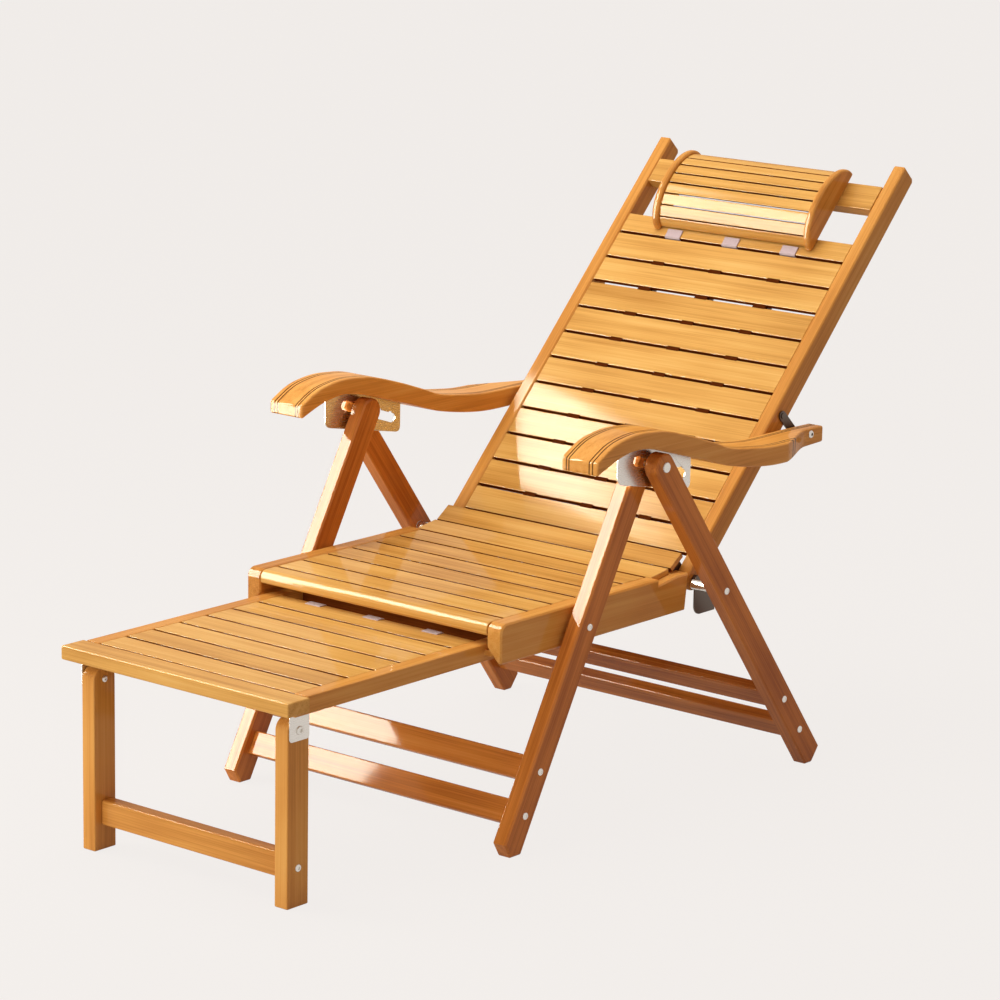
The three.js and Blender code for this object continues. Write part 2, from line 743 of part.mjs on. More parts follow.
function makeRatchetPlate() {
  const outer = ratchetInner + ratchetThickness;
  const sheet = plate(ratchetOutline(0), ratchetInner, outer, steelEdge);
  const slot = plate(slab(-windowAhead, -windowBelow, windowBehind, windowAbove, windowAbove),
    ratchetInner - overrun, outer + overrun, 0);
  const teeth = [];
  for (let i = 0; i < toothCount; i += 1) {
    teeth.push(rod(toothRadius, ratchetInner - overrun, outer + overrun, i * toothPitch, toothRise));
  }
  return cut(sheet, ...[slot, ...teeth].map((cutter) => cutter.rotateZ(windowSlope)));
}

for (const [sideName, side] of sides) {
  piece(`armrest_${sideName}`, twin(makeArmrest(), side), railBamboo(), pivot);
  piece(`ratchet_plate_${sideName}`, twin(makeRatchetPlate(), side), zincSteel(), pivot);
}

// Footrest, drawn from the leg pivot's line on the floor
const footrest = group(sidePlane, 0, 0);
const footFront = -footReach - footNosingOverhang;
const footNosingBack = footFront + footNosingDepth;
const footRailInner = footRailOuter - footRailThickness;
const footRailTop = seatBoltY - footRailUnderSeatBolt;
const footNosingTop = footRailTop - footNosingSink;
const footRailUnder = footRailTop - footRailDepth;
const footSlatTop = footRailTop - footSlatSink;
const footSlatsStart = footNosingBack + slatGap / 2;

function makeFootRail() {
  const lapTop = footNosingTop - footNosingThickness - gap;
  const lapEnd = footFront + footNosingOverhang / 2;
  const shape = polygon([
    [lapEnd, footRailUnder], [-footInnerReach, footRailUnder], [-footInnerReach, footRailTop],
    [footNosingBack + gap, footRailTop], [footNosingBack + gap, lapTop], [lapEnd, lapTop],
  ]);
  const rail = plate(shape, footRailInner, footRailOuter, edgeRound / 2);
  const grooveTop = seatBoltY + seatRailRise - grooveSink;
  const tongueTop = grooveTop - (grooveHeight - tongueHeight) / 2;
  const tongue = plate(
    polygon([
      [-footInnerReach - tongueLength, tongueTop - tongueHeight + gap],
      [-footInnerReach - tongueHeight, tongueTop - tongueHeight + gap],
      [-footInnerReach - tongueHeight, tongueTop - gap],
      [-footInnerReach - tongueLength, tongueTop - gap],
    ]),
    footRailOuter - edgeRound, seatRailInner + grooveDepth - gap, 0);
  return join(rail, tongue);
}

function makeFootNosing() {
  const shape = slab(footFront, footNosingTop - footNosingThickness, footNosingBack, footNosingTop,
    edgeRound);
  return plate(shape, -footNosingHalf, footNosingHalf, slatEdge, cornerSteps);
}

// Seven slats glued on three bands of webbing
function makeFootDeck() {
  const half = footRailInner - gap;
  const slats = [];
  for (let i = 0; i < footSlatCount; i += 1) {
    const slat = makeSlat(footSlatPitch - slatGap, footSlatThickness, half);
    slats.push(slat.translate(footSlatsStart + i * footSlatPitch, footSlatTop, 0));
  }
  const top = footSlatTop - footSlatThickness + gap;
  const end = footSlatsStart + footSlatCount * footSlatPitch - slatGap + footBandReach;
  const strip = polygon([
    [footSlatsStart + slatEdge, top - bandThickness], [end, top - bandThickness], [end, top],
    [footSlatsStart + slatEdge, top],
  ]);
  const bands = [-footBandOffset, 0, footBandOffset].map((middle) => plate(strip,
    middle - bandWidth / 2, middle + bandWidth / 2, 0));
  return join(...slats, ...bands);
}

for (const [sideName, side] of sides) {
  piece(`footrest_rail_${sideName}`, twin(makeFootRail(), side), honeyBamboo(), footrest);
}
piece('footrest_nosing', makeFootNosing(), honeyBamboo(), footrest);
piece('footrest_deck', makeFootDeck(), honeyBamboo(), footrest);

// Foot legs and their brackets
const footLegPivotHeight = footRailUnder - footLegPivotDrop;
const footPivot = group(footrest, footFront + footLegBehindFront, footLegPivotHeight);
const footLegOuter = footLegInner + footLegThickness;

function makeFootLeg() {
  const half = footLegDepth / 2;
  const shape = new THREE.Shape();
  shape.moveTo(-half, -footLegPivotHeight);
  shape.lineTo(half, -footLegPivotHeight);
  shape.absellipse(0, 0, half, footLegTop, 0, Math.PI);
  const leg = cut(plate(shape, footLegInner, footLegOuter, edgeRound),
    rod(boltHole, footLegInner - overrun, footLegOuter + overrun));
  const screw = dome(screwHeadRadius, screwHeadHeight, footLegOuter, 0,
    footStretcherHeight - footLegPivotHeight);
  return join(leg, screw);
}

function makeFootStretcher() {
  const half = footLegInner - gap;
  const back = footLegDepth / 2 - footStretcherSetback + gap;
  const shape = slab(back - footStretcherDepth, -footStretcherWidth / 2, back, footStretcherWidth / 2,
    edgeRound);
  return plate(shape, -half, half, 0, cornerSteps);
}

// A steel fork under the footrest rail, with the bolt that the leg turns on
function makeFootBracket() {
  const top = footRailUnder - gap - footLegPivotHeight;
  const inner = footLegInner - gap - bracketThickness;
  const outer = footLegOuter + gap + bracketThickness;
  const fork = slab(-bracketHalf, top - bracketDrop, bracketHalf, top, edgeRound);
  const body = plate(fork, inner, outer, 0, cornerSteps);
  const mouth = plate(
    polygon([
      [-bracketHalf - overrun, top - bracketDrop - overrun],
      [bracketHalf + overrun, top - bracketDrop - overrun],
      [bracketHalf + overrun, top - bracketThickness],
      [-bracketHalf - overrun, top - bracketThickness],
    ]),
    footLegInner - gap, footLegOuter + gap, 0);
  const bolt = rod(boltRadius, inner, outer);
  const head = dome(screwHeadRadius, screwHeadHeight, outer);
  return join(cut(body, mouth), bolt, head);
}

for (const [sideName, side] of sides) {
  piece(`foot_leg_${sideName}`, twin(makeFootLeg(), side), honeyBamboo(), footPivot);
  piece(`foot_bracket_${sideName}`, twin(makeFootBracket(), side), zincSteel(), footPivot);
}
piece('foot_stretcher', makeFootStretcher(), honeyBamboo(), footPivot)
  .position.y = footStretcherHeight - footLegPivotHeight;

// Headrest: a bow of narrow slats between two half-oval end boards
const pillow = group(back, headSlatStart + pillowPastHeadSlat, backFront + gap);

function makePillowBow(reach, height) {
  const shape = new THREE.Shape();
  shape.absellipse(pillowChord / 2, 0, reach, height, 0, Math.PI);
  return shape;
}

function makePillowEnd() {
  return plate(makePillowBow(pillowChord / 2, pillowHeight), pillowHalf - pillowEndThickness, pillowHalf,
    edgeRound);
}

// The slats share one shell, cut by a groove between each two
function makePillowSlats() {
  const half = pillowHalf - pillowEndThickness - gap;
  const reach = pillowChord / 2 - pillowInset;
  const height = pillowHeight - pillowInset;
  const shell = cut(
    plate(makePillowBow(reach, height), -half, half, 0),
    plate(makePillowBow(reach - pillowSlatThickness, height - pillowSlatThickness), -half - overrun,
      half + overrun, 0).translate(0, -overrun, 0),
  );
  const grooves = [];
  for (let i = 1; i < pillowSlatCount; i += 1) {
    const turn = Math.PI * i / pillowSlatCount;
    const groove = rod(pillowGroove, -half - overrun, half + overrun,
      pillowChord / 2 + reach * Math.cos(turn), height * Math.sin(turn));
    grooves.push(groove);
  }
  return cut(shell, ...grooves);
}

for (const [sideName, side] of sides) {
  piece(`pillow_end_${sideName}`, twin(makePillowEnd(), side), honeyBamboo(), pillow);
}
piece('pillow_slats', makePillowSlats(), honeyBamboo(), pillow);

export default chair;
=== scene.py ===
"""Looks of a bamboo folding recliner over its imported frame: metres, +Z up, -Y the foot end."""

import json
import random
from math import atan2, cos, hypot, pi, radians, sin

import bmesh
import bpy
from mathutils import Matrix, Vector


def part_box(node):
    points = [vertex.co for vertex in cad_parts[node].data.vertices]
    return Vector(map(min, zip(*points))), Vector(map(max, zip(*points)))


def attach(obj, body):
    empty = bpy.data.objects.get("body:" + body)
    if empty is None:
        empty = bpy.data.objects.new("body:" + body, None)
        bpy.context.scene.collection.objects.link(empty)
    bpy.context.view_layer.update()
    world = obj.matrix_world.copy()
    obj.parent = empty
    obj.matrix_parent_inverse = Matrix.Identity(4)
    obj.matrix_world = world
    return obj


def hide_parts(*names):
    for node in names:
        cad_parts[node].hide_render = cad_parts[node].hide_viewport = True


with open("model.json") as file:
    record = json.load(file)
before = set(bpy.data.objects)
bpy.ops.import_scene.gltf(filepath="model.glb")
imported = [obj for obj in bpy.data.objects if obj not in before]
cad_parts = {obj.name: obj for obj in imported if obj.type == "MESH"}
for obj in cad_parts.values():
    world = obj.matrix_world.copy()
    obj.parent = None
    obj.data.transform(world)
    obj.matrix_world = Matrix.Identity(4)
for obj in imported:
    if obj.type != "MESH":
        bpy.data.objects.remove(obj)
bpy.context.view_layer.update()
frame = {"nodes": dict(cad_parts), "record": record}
nodes = frame["nodes"]
behaviour = frame["record"]["behaviour"]
joint_at = {joint["name"]: Vector(joint["pos_m"]) for joint in behaviour["joints"]
            if joint["type"] == "hinge"}
material_slot = {part["node"]: part["material_slot"] for part in frame["record"]["subparts"]}
body_of_node = {node: body for body, names in behaviour["bodies"].items() for node in names}

PIVOT = joint_at["leg_fold"]
HINGE = joint_at["recline"]
FOOT_PIVOT = joint_at["foot_leg_fold"]
PILLOW_HINGE = joint_at["headrest_flip"]

BACK_LEAN = radians(46.29)
FRONT_LEG_LEAN = radians(28.75)
REAR_LEG_LEAN = radians(37.24)
KNEE_SLAT_TILT = radians(34.9)
REAR_SLAT_TILT = radians(8.5)

ALONG_BACK = Vector((0, cos(BACK_LEAN), sin(BACK_LEAN)))
OUT_OF_BACK = Vector((0, -sin(BACK_LEAN), cos(BACK_LEAN)))
ACROSS = Vector((1, 0, 0))
REARWARD = Vector((0, 1, 0))
UP = Vector((0, 0, 1))


# Camera, fitted to the photograph's frame of 1000 by 1000 pixels
CAMERA_AZIMUTH = radians(39.78)
CAMERA_ELEVATION = radians(12.98)
CAMERA_ROLL = radians(0.99)
CAMERA_DISTANCE = 6.0575
CAMERA_TARGET = Vector((0, -0.0067, 0.44956))
CAMERA_LENS = 138.96
CAMERA_SENSOR = 36


def towards(azimuth, elevation):
    """Unit vector towards a place at that azimuth, where 0 is the foot end, and elevation."""
    level = cos(elevation)
    return Vector((sin(azimuth) * level, -cos(azimuth) * level, sin(elevation)))


def add_camera():
    backward = towards(CAMERA_AZIMUTH, CAMERA_ELEVATION)
    right = Vector((cos(CAMERA_AZIMUTH), sin(CAMERA_AZIMUTH), 0))
    up = backward.cross(right)
    cosine, sine = cos(CAMERA_ROLL), sin(CAMERA_ROLL)
    rolled_right = right * cosine + up * sine
    rolled_up = up * cosine - right * sine
    turn = Matrix((rolled_right, rolled_up, backward)).transposed().to_4x4()
    data = bpy.data.cameras.new("camera")
    data.lens = CAMERA_LENS
    data.sensor_width = CAMERA_SENSOR
    camera = bpy.data.objects.new("camera", data)
    camera.matrix_world = Matrix.Translation(CAMERA_TARGET + backward * CAMERA_DISTANCE) @ turn
    bpy.context.scene.collection.objects.link(camera)
    bpy.context.scene.camera = camera


# Node materials: sockets of the colour mix node, and the values that a whole look shares
MIX_FACTOR, MIX_FIRST, MIX_SECOND, MIX_RESULT = 0, 6, 7, 2
BAMBOO_LOOK = {"Roughness": 0.42, "Specular IOR Level": 0.0, "Coat Roughness": 0.06,
               "Coat IOR": 1.5}
BAMBOO_COAT = 0.28
FIBRE_SHARE, STREAK_SHARE, CLOUD_SHARE = 0.42, 0.48, 0.34
GLUE_LINE_DIM = 0.22
GLUE_LINE_CORE, GLUE_LINE_RIM = 0.0008, 0.0013
STEEL_DIM = 0.95
STEEL_SMOOTHER, STEEL_ROUGHER = 0.95, 1.08
WEBBING_LOOK = {"Roughness": 0.8, "Sheen Weight": 0.15}
WEBBING_WAVE = {"Scale": 230, "Distortion": 0.6}


def new_material(name):
    material = bpy.data.materials.new(name)
    material.use_nodes = True
    tree = material.node_tree
    return material, tree, tree.nodes["Principled BSDF"]


def node_of(tree, kind, **settings):
    made = tree.nodes.new(kind)
    for key, value in settings.items():
        setattr(made, key, value)
    return made


def set_values(node, values):
    for socket, value in values.items():
        node.inputs[socket].default_value = value


def feed(tree, socket, value):
    """Sets a socket to a number or colour, or links it to another node's output."""
    if isinstance(value, (tuple, int, float)):
        socket.default_value = value
    else:
        tree.links.new(value, socket)


def noise(tree, vector, scale, detail, roughness):
    """A noise stretched by its scale along the grain and across it."""
    mapping = node_of(tree, "ShaderNodeMapping")
    mapping.inputs["Scale"].default_value = scale
    tree.links.new(vector, mapping.inputs["Vector"])
    made = node_of(tree, "ShaderNodeTexNoise")
    set_values(made, {"Scale": 1.0, "Detail": detail, "Roughness": roughness})
    tree.links.new(mapping.outputs["Vector"], made.inputs["Vector"])
    return made.outputs["Fac"]


def spread(tree, value, low, high, to_low=0.0, to_high=1.0):
    """Maps the span from low to high onto the span from to_low to to_high."""
    made = node_of(tree, "ShaderNodeMapRange")
    set_values(made, {"From Min": low, "From Max": high, "To Min": to_low, "To Max": to_high})
    tree.links.new(value, made.inputs["Value"])
    return made.outputs["Result"]


def maths(tree, operation, first, second):
    made = node_of(tree, "ShaderNodeMath", operation=operation)
    for socket, value in zip(made.inputs, (first, second)):
        feed(tree, socket, value)
    return made.outputs[0]


def weighted(tree, *parts):
    """The sum of values times their shares, given as pairs."""
    total = None
    for value, share in parts:
        part = maths(tree, "MULTIPLY", value, share)
        total = part if total is None else maths(tree, "ADD", total, part)
    return total


def mixed(tree, factor, first, second):
    made = node_of(tree, "ShaderNodeMix", data_type="RGBA", blend_type="MIX")
    for index, value in ((MIX_FACTOR, factor), (MIX_FIRST, first), (MIX_SECOND, second)):
        feed(tree, made.inputs[index], value)
    return made.outputs[MIX_RESULT]


def ramp(tree, factor, stops):
    made = node_of(tree, "ShaderNodeValToRGB")
    elements = made.color_ramp.elements
    while len(elements) < len(stops):
        elements.new(0.5)
    for element, (place, color) in zip(elements, stops):
        element.position = place
        element.color = (*color, 1)
    tree.links.new(factor, made.inputs["Fac"])
    return made.outputs["Color"]


def add_bump(tree, shader, height, strength, distance):
    bump = node_of(tree, "ShaderNodeBump")
    set_values(bump, {"Strength": strength, "Distance": distance})
    tree.links.new(height, bump.inputs["Height"])
    tree.links.new(bump.outputs["Normal"], shader.inputs["Normal"])


def bamboo(name, shades, lines=None, coat=BAMBOO_COAT):
    """Lacquered bamboo laths. The grain attribute holds metres along and across the grain."""
    material, tree, shader = new_material(name)
    grain = node_of(tree, "ShaderNodeAttribute", attribute_name="grain").outputs["Vector"]
    tone = node_of(tree, "ShaderNodeAttribute", attribute_name="tone").outputs["Fac"]
    fibre = noise(tree, grain, scale=(5, 520, 520), detail=3.0, roughness=0.6)
    streak = noise(tree, grain, scale=(2.2, 85, 85), detail=2.0, roughness=0.55)
    cloud = noise(tree, grain, scale=(5.5, 11, 11), detail=1.0, roughness=0.5)
    level = weighted(tree, (fibre, FIBRE_SHARE), (streak, STREAK_SHARE), (cloud, CLOUD_SHARE))
    shade = spread(tree, maths(tree, "ADD", level, tone), low=0.36, high=0.92)
    color = ramp(tree, shade, tuple(zip((0.0, 0.5, 1.0), shades)))
    if lines:
        line_color = (*[channel * GLUE_LINE_DIM for channel in shades[0]], 1)
        color = mixed(tree, glue_lines(tree, lines), color, line_color)
    tree.links.new(color, shader.inputs["Base Color"])
    set_values(shader, BAMBOO_LOOK)
    shader.inputs["Coat Weight"].default_value = coat
    add_bump(tree, shader, fibre, strength=0.02, distance=0.0006)
    return material


def glue_lines(tree, places):
    """1 on thin lines at these distances from the chair's middle, in metres, on both sides."""
    rest = node_of(tree, "ShaderNodeAttribute", attribute_name="place").outputs["Vector"]
    across = node_of(tree, "ShaderNodeSeparateXYZ")
    tree.links.new(rest, across.inputs[0])
    distance = maths(tree, "ABSOLUTE", across.outputs["X"], 0)
    total = None
    for place in places:
        off = maths(tree, "ABSOLUTE", maths(tree, "SUBTRACT", distance, place), 0)
        line = spread(tree, off, GLUE_LINE_CORE, GLUE_LINE_RIM, to_low=1.0, to_high=0.0)
        total = line if total is None else maths(tree, "MAXIMUM", total, line)
    return total


def steel(name, color, roughness):
    """Brushed steel with faint clouds."""
    material, tree, shader = new_material(name)
    place = node_of(tree, "ShaderNodeTexCoord").outputs["Object"]
    brushed = noise(tree, place, scale=(260, 24, 260), detail=2.0, roughness=0.5)
    cloud = noise(tree, place, scale=(38, 38, 38), detail=1.0, roughness=0.5)
    level = weighted(tree, (brushed, 0.6), (cloud, 0.4))
    dim = tuple(channel * STEEL_DIM for channel in color)
    tint = ramp(tree, spread(tree, level, low=0.3, high=0.7), ((0.0, dim), (1.0, color)))
    tree.links.new(tint, shader.inputs["Base Color"])
    shader.inputs["Metallic"].default_value = 1.0
    rough = spread(tree, brushed, low=0.3, high=0.7, to_low=roughness * STEEL_SMOOTHER,
                   to_high=roughness * STEEL_ROUGHER)
    tree.links.new(rough, shader.inputs["Roughness"])
    return material


def webbing(name, dark, light):
    """Twill tape: fine ribs along it, crossed by finer threads."""
    material, tree, shader = new_material(name)
    place = node_of(tree, "ShaderNodeTexCoord").outputs["Object"]
    weave = node_of(tree, "ShaderNodeTexWave", wave_type="BANDS", bands_direction="X")
    set_values(weave, WEBBING_WAVE)
    tree.links.new(place, weave.inputs["Vector"])
    fuzz = noise(tree, place, scale=(700, 700, 700), detail=2.0, roughness=0.6)
    level = weighted(tree, (weave.outputs["Fac"], 0.5), (fuzz, 0.5))
    color = ramp(tree, spread(tree, level, low=0.25, high=0.75), ((0.0, dark), (1.0, light)))
    tree.links.new(color, shader.inputs["Base Color"])
    set_values(shader, WEBBING_LOOK)
    add_bump(tree, shader, weave.outputs["Fac"], strength=0.25, distance=0.0005)
    return material


# Dark, middle and light of each bamboo and of the painted shade, and where the glue lines of an
# arm run across it
SLAT_SHADES = ((0.43, 0.190, 0.034), (0.67, 0.368, 0.096), (0.80, 0.52, 0.175))
RAIL_SHADES = ((0.40, 0.145, 0.023), (0.65, 0.298, 0.066), (0.78, 0.44, 0.125))
FRAME_SHADES = ((0.36, 0.100, 0.017), (0.65, 0.232, 0.045), (0.79, 0.35, 0.09))
ARM_SHADES = ((0.44, 0.165, 0.027), (0.73, 0.338, 0.076), (0.84, 0.47, 0.135))
# Painted shade, no wood of its own: the dark look of slat edges in the gaps and of pieces that
# lie in shade
PAINTED_SHADE_COLOURS = ((0.08, 0.017, 0.003), (0.165, 0.038, 0.006), (0.27, 0.08, 0.014))
ARM_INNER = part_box("armrest_right")[0].x
ARM_WIDTH = 0.07
ARM_LINE_SHARES = (0.14, 0.21, 0.76, 0.85)
ARM_LINES = [ARM_INNER + share * ARM_WIDTH for share in ARM_LINE_SHARES]

MATERIALS = {
    "bamboo_slat": bamboo("bamboo_slat", SLAT_SHADES),
    "bamboo_pillow": bamboo("bamboo_pillow", SLAT_SHADES, coat=0.23),
    "bamboo_rail": bamboo("bamboo_rail", RAIL_SHADES),
    "bamboo_frame": bamboo("bamboo_frame", FRAME_SHADES, coat=0.32),
    "bamboo_arm": bamboo("bamboo_arm", ARM_SHADES, ARM_LINES),
    "bamboo_painted_shade": bamboo("bamboo_painted_shade", PAINTED_SHADE_COLOURS, coat=0),
    "steel": steel("steel", (0.72, 0.68, 0.62), roughness=0.27),
    "steel_dark": steel("steel_dark", (0.13, 0.10, 0.08), roughness=0.38),
    "webbing": webbing("webbing", dark=(0.34, 0.245, 0.275), light=(0.52, 0.405, 0.445)),
}


# Pieces
SEED = 41
SIDES = (("right", 1), ("left", -1))
GRAIN_SHIFTS = (40, 9, 9)
ROD_SIDES = 20
WELD_DISTANCE = 2e-6
FLAT_ANGLE = radians(0.6)
BOLT_MARGIN = 1e-4
SIDEWAYS, LEVEL = 0.99, 0.9
rng = random.Random(SEED)


def link(obj):
    bpy.context.scene.collection.objects.link(obj)
    return obj


def object_from(build, name):
    mesh = bpy.data.meshes.new(name)
    build.to_mesh(mesh)
    build.free()
    return link(bpy.data.objects.new(name, mesh))


def loft(build, rings):
    """Joins rings of equal length into a tube with capped ends."""
    verts = [[build.verts.new(point) for point in ring] for ring in rings]
    count = len(verts[0])
    for first, second in zip(verts, verts[1:]):
        for i in range(count):
            j = (i + 1) % count
            build.faces.new((first[i], first[j], second[j], second[i]))
    build.faces.new(list(reversed(verts[0])))
    build.faces.new(verts[-1])
    bmesh.ops.recalc_face_normals(build, faces=build.faces)


def lofted(rings, name):
    """A solid through rings of equal length."""
    build = bmesh.new()
    loft(build, rings)
    return object_from(build, name)


def extruded(outline, low, high, name):
    """A solid of an outline in the side plane, from one place across to another."""
    return lofted([[Vector((x, y, z)) for y, z in outline] for x in (low, high)], name)


def circle(sides):
    """The angles of a circle's points."""
    return [2 * pi * i / sides for i in range(sides)]


def arc(x, y, radius, start, sweep, steps):
    """Pairs for the points of an arc about a point. Its angles are in degrees."""
    turns = [radians(start + sweep * k / steps) for k in range(steps + 1)]
    return [(x + radius * cos(turn), y + radius * sin(turn)) for turn in turns]


def round_end(radius, steps):
    """Pairs of a section's inset and its distance from the end, for a rounded end."""
    turns = [radians(90 * k / steps) for k in range(steps + 1)]
    return [(radius * (1 - sin(t)), radius * (1 - cos(t))) for t in turns]


def rectangle(left, right, bottom, top):
    return [(left, bottom), (right, bottom), (right, top), (left, top)]


def add_rod(build, centre, radius, start, end):
    """A rod across the chair."""
    loft(build, [[Vector((x, centre.y + radius * cos(t), centre.z + radius * sin(t)))
                  for t in circle(ROD_SIDES)] for x in (start, end)])


def rounded(obj, width, segments, angle):
    """Rounds the edges sharper than angle, then keeps the result as the mesh itself."""
    bevel = obj.modifiers.new("edge", "BEVEL")
    bevel.width = width
    bevel.segments = segments
    bevel.limit_method = "ANGLE"
    bevel.angle_limit = radians(angle)
    bevel.use_clamp_overlap = True
    for polygon in obj.data.polygons:
        polygon.use_smooth = True
    graph = bpy.context.evaluated_depsgraph_get()
    graph.update()
    mesh = bpy.data.meshes.new_from_object(obj.evaluated_get(graph))
    obj.modifiers.clear()
    obj.data = mesh
    firm_normals(mesh)


def firm_normals(mesh):
    """Flat faces keep their normal up to the rounding: the largest face at a point decides."""
    total = [Vector((0, 0, 0)) for _ in mesh.vertices]
    for face in mesh.polygons:
        share = face.normal * face.area ** 2
        for index in face.vertices:
            total[index] += share
    normals = [normal.normalized() if normal.length > 0 else vertex.normal
               for normal, vertex in zip(total, mesh.vertices)]
    mesh.normals_split_custom_set_from_vertices(normals)


def smooth_sides(obj, angle):
    """Smooth shading on the four-sided faces, broken at edges sharper than angle."""
    for polygon in obj.data.polygons:
        polygon.use_smooth = len(polygon.vertices) == 4
    obj.data.set_sharp_from_angle(angle=radians(angle))


def add_grain(obj, along, tone, extra_at=None):
    """Writes the grain, place and tone attributes from the points as they are at rest.

    extra_at gives what a point adds to the tone, and to the place along the grain.
    """
    along = along.normalized()
    side = ACROSS if abs(along.x) < 0.5 else REARWARD
    third = along.cross(side).normalized()
    side = third.cross(along)
    shift = Vector([rng.uniform(0, reach) for reach in GRAIN_SHIFTS])
    grain, place, tones = [], [], []
    for vertex in obj.data.vertices:
        point = vertex.co
        extra_tone, extra_along = extra_at(point) if extra_at else (0, 0)
        grain += (point.dot(along) + shift.x + extra_along, point.dot(side) + shift.y,
                  point.dot(third) + shift.z)
        place.extend(point)
        tones.append(tone + extra_tone)
    for name, kind, field, values in (("grain", "FLOAT_VECTOR", "vector", grain),
                                      ("place", "FLOAT_VECTOR", "vector", place),
                                      ("tone", "FLOAT", "value", tones)):
        obj.data.attributes.new(name, kind, "POINT").data.foreach_set(field, values)


def copy_of_node(node, name):
    """A welded copy of a node's mesh with its flat faces whole."""
    build = bmesh.new()
    build.from_mesh(nodes[node].data)
    bmesh.ops.remove_doubles(build, verts=build.verts, dist=WELD_DISTANCE)
    bmesh.ops.dissolve_limit(build, angle_limit=FLAT_ANGLE, verts=build.verts, edges=build.edges)
    return object_from(build, name)


def settle(obj, body, looks, replaces=()):
    """Gives a piece its looks, and says what it replaces and the body it rides on."""
    obj.data.materials.clear()
    for look in looks:
        obj.data.materials.append(MATERIALS[look])
    if replaces:
        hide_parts(*replaces)
    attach(obj, body)


def back_spot(point):
    """How far along the back and out of it a point lies from the hinge."""
    offset = point - HINGE
    return offset.dot(ALONG_BACK), offset.dot(OUT_OF_BACK)


def leaning(lean):
    """The direction down a leg that leans rearward by this angle."""
    return Vector((0, sin(lean), -cos(lean)))


def grain_direction(node):
    if node.startswith(("back_rail", "back_band")):
        return ALONG_BACK
    if node.startswith(("seat_rail", "footrest_rail", "armrest")):
        return REARWARD
    if node.startswith("front_leg"):
        return leaning(-FRONT_LEG_LEAN)
    if node.startswith("rear_leg"):
        return leaning(REAR_LEG_LEAN)
    if node.startswith("foot_leg"):
        return UP
    return ACROSS


def leg_span(node):
    """The across-chair span of a leg's wood, from where most of its area lies."""
    faces = [(abs(face.center.x), face.area) for face in nodes[node].data.polygons
             if abs(face.normal.x) > SIDEWAYS]
    spots = {}
    for place, area in faces:
        key = round(place, 4)
        spots[key] = spots.get(key, 0) + area
    return sorted(sorted(spots, key=spots.get)[-2:])


def paint_bolts(obj, node):
    """Steel on the faces of bolts, sleeves and screw heads that stand out of a leg."""
    inner, outer = leg_span(node)
    for face in obj.data.polygons:
        place = abs(face.center.x)
        outside = place < inner - BOLT_MARGIN or place > outer + BOLT_MARGIN
        face.material_index = 1 if outside else 0


# Wood that copies its node: tones, painted shade, edge roundings and the small moves that open or
# close gaps
BUILT_ANEW = ("pillow_", "armrest_", "foot_leg_", "foot_bracket_", "arm_link_")
TONE_SPREAD = 0.075
# Painted shade: darker tones for the rear legs, the rear stretchers and the top rail, which lie
# in shade
SHADE_TONE_SHIFT = {"rear_leg": -0.12, "rear_stretcher": -0.12, "back_top": -0.1}
ROUNDING = {"back_slat_1": 0.0026, "seat_slat_knee": 0.0024, "seat_slat_rear": 0.0024,
            "footrest_nosing": 0.0060}
SLAT_ROUNDING = 0.0010
OTHER_ROUNDING = 0.0014
BACK_SLAT_THICKER = 0.002
LIGHT_SLAT = "back_slat_10"
EDGE_RISES = {"back_slat_1": 0.0026, LIGHT_SLAT: 0.0016}
EDGE_RISE = -0.0006
LIFTS = {f"seat_slat_{i}": 0.0020 for i in range(1, 7)}
LIFTS.update(seat_nosing=0.0020, footrest_deck=0.0026, footrest_nosing=0.0018)
KNEE_SHORTER = 0.005
KNEE_RISE = 0.0015
STEEP_EDGE = 0.7  # how nearly the normal of an edge in painted shade looks across
ROUND_EDGE = 0.2


def fit_back_slat(obj, rise, thicker):
    """Moves a back slat's lower edge along the back, and its rear away from the face."""
    spots = [back_spot(vertex.co) for vertex in obj.data.vertices]
    middle = sum(along for along, out in spots) / len(spots)
    depth = sum(out for along, out in spots) / len(spots)
    for vertex, (along, out) in zip(obj.data.vertices, spots):
        if along < middle:
            vertex.co += ALONG_BACK * rise
        if out < depth:
            vertex.co -= OUT_OF_BACK * thicker


def lift_top(obj, lift):
    """Brings a slat's face up towards the rails' tops, its underside held."""
    heights = [vertex.co.z for vertex in obj.data.vertices]
    low, high = min(heights), max(heights)
    for vertex in obj.data.vertices:
        vertex.co.z += lift * (vertex.co.z - low) / (high - low)


def open_knee(obj):
    """Brings the knee slat's rear edge down the slope and the slat up: both edges show."""
    middle = sum(vertex.co.y for vertex in obj.data.vertices) / len(obj.data.vertices)
    slope = Vector((0, cos(KNEE_SLAT_TILT), sin(KNEE_SLAT_TILT)))
    for vertex in obj.data.vertices:
        if vertex.co.y > middle:
            vertex.co -= slope * KNEE_SHORTER
        vertex.co.z += KNEE_RISE


def slat_edge(node):
    """The direction across a slat, and how nearly a face in painted shade looks that way."""
    if node.startswith("back"):
        return ALONG_BACK, ROUND_EDGE if node == "back_slat_1" else STEEP_EDGE
    tilt = {"seat_slat_knee": KNEE_SLAT_TILT, "seat_slat_rear": REAR_SLAT_TILT}.get(node, 0)
    return Vector((0, cos(tilt), sin(tilt))), ROUND_EDGE if tilt else STEEP_EDGE


def shade_edges(obj, across_slat, least):
    """Painted shade on the long edges: the faces that look across the slat get the dark look."""
    for face in obj.data.polygons:
        if abs(face.normal.dot(across_slat)) > least:
            face.material_index = 1


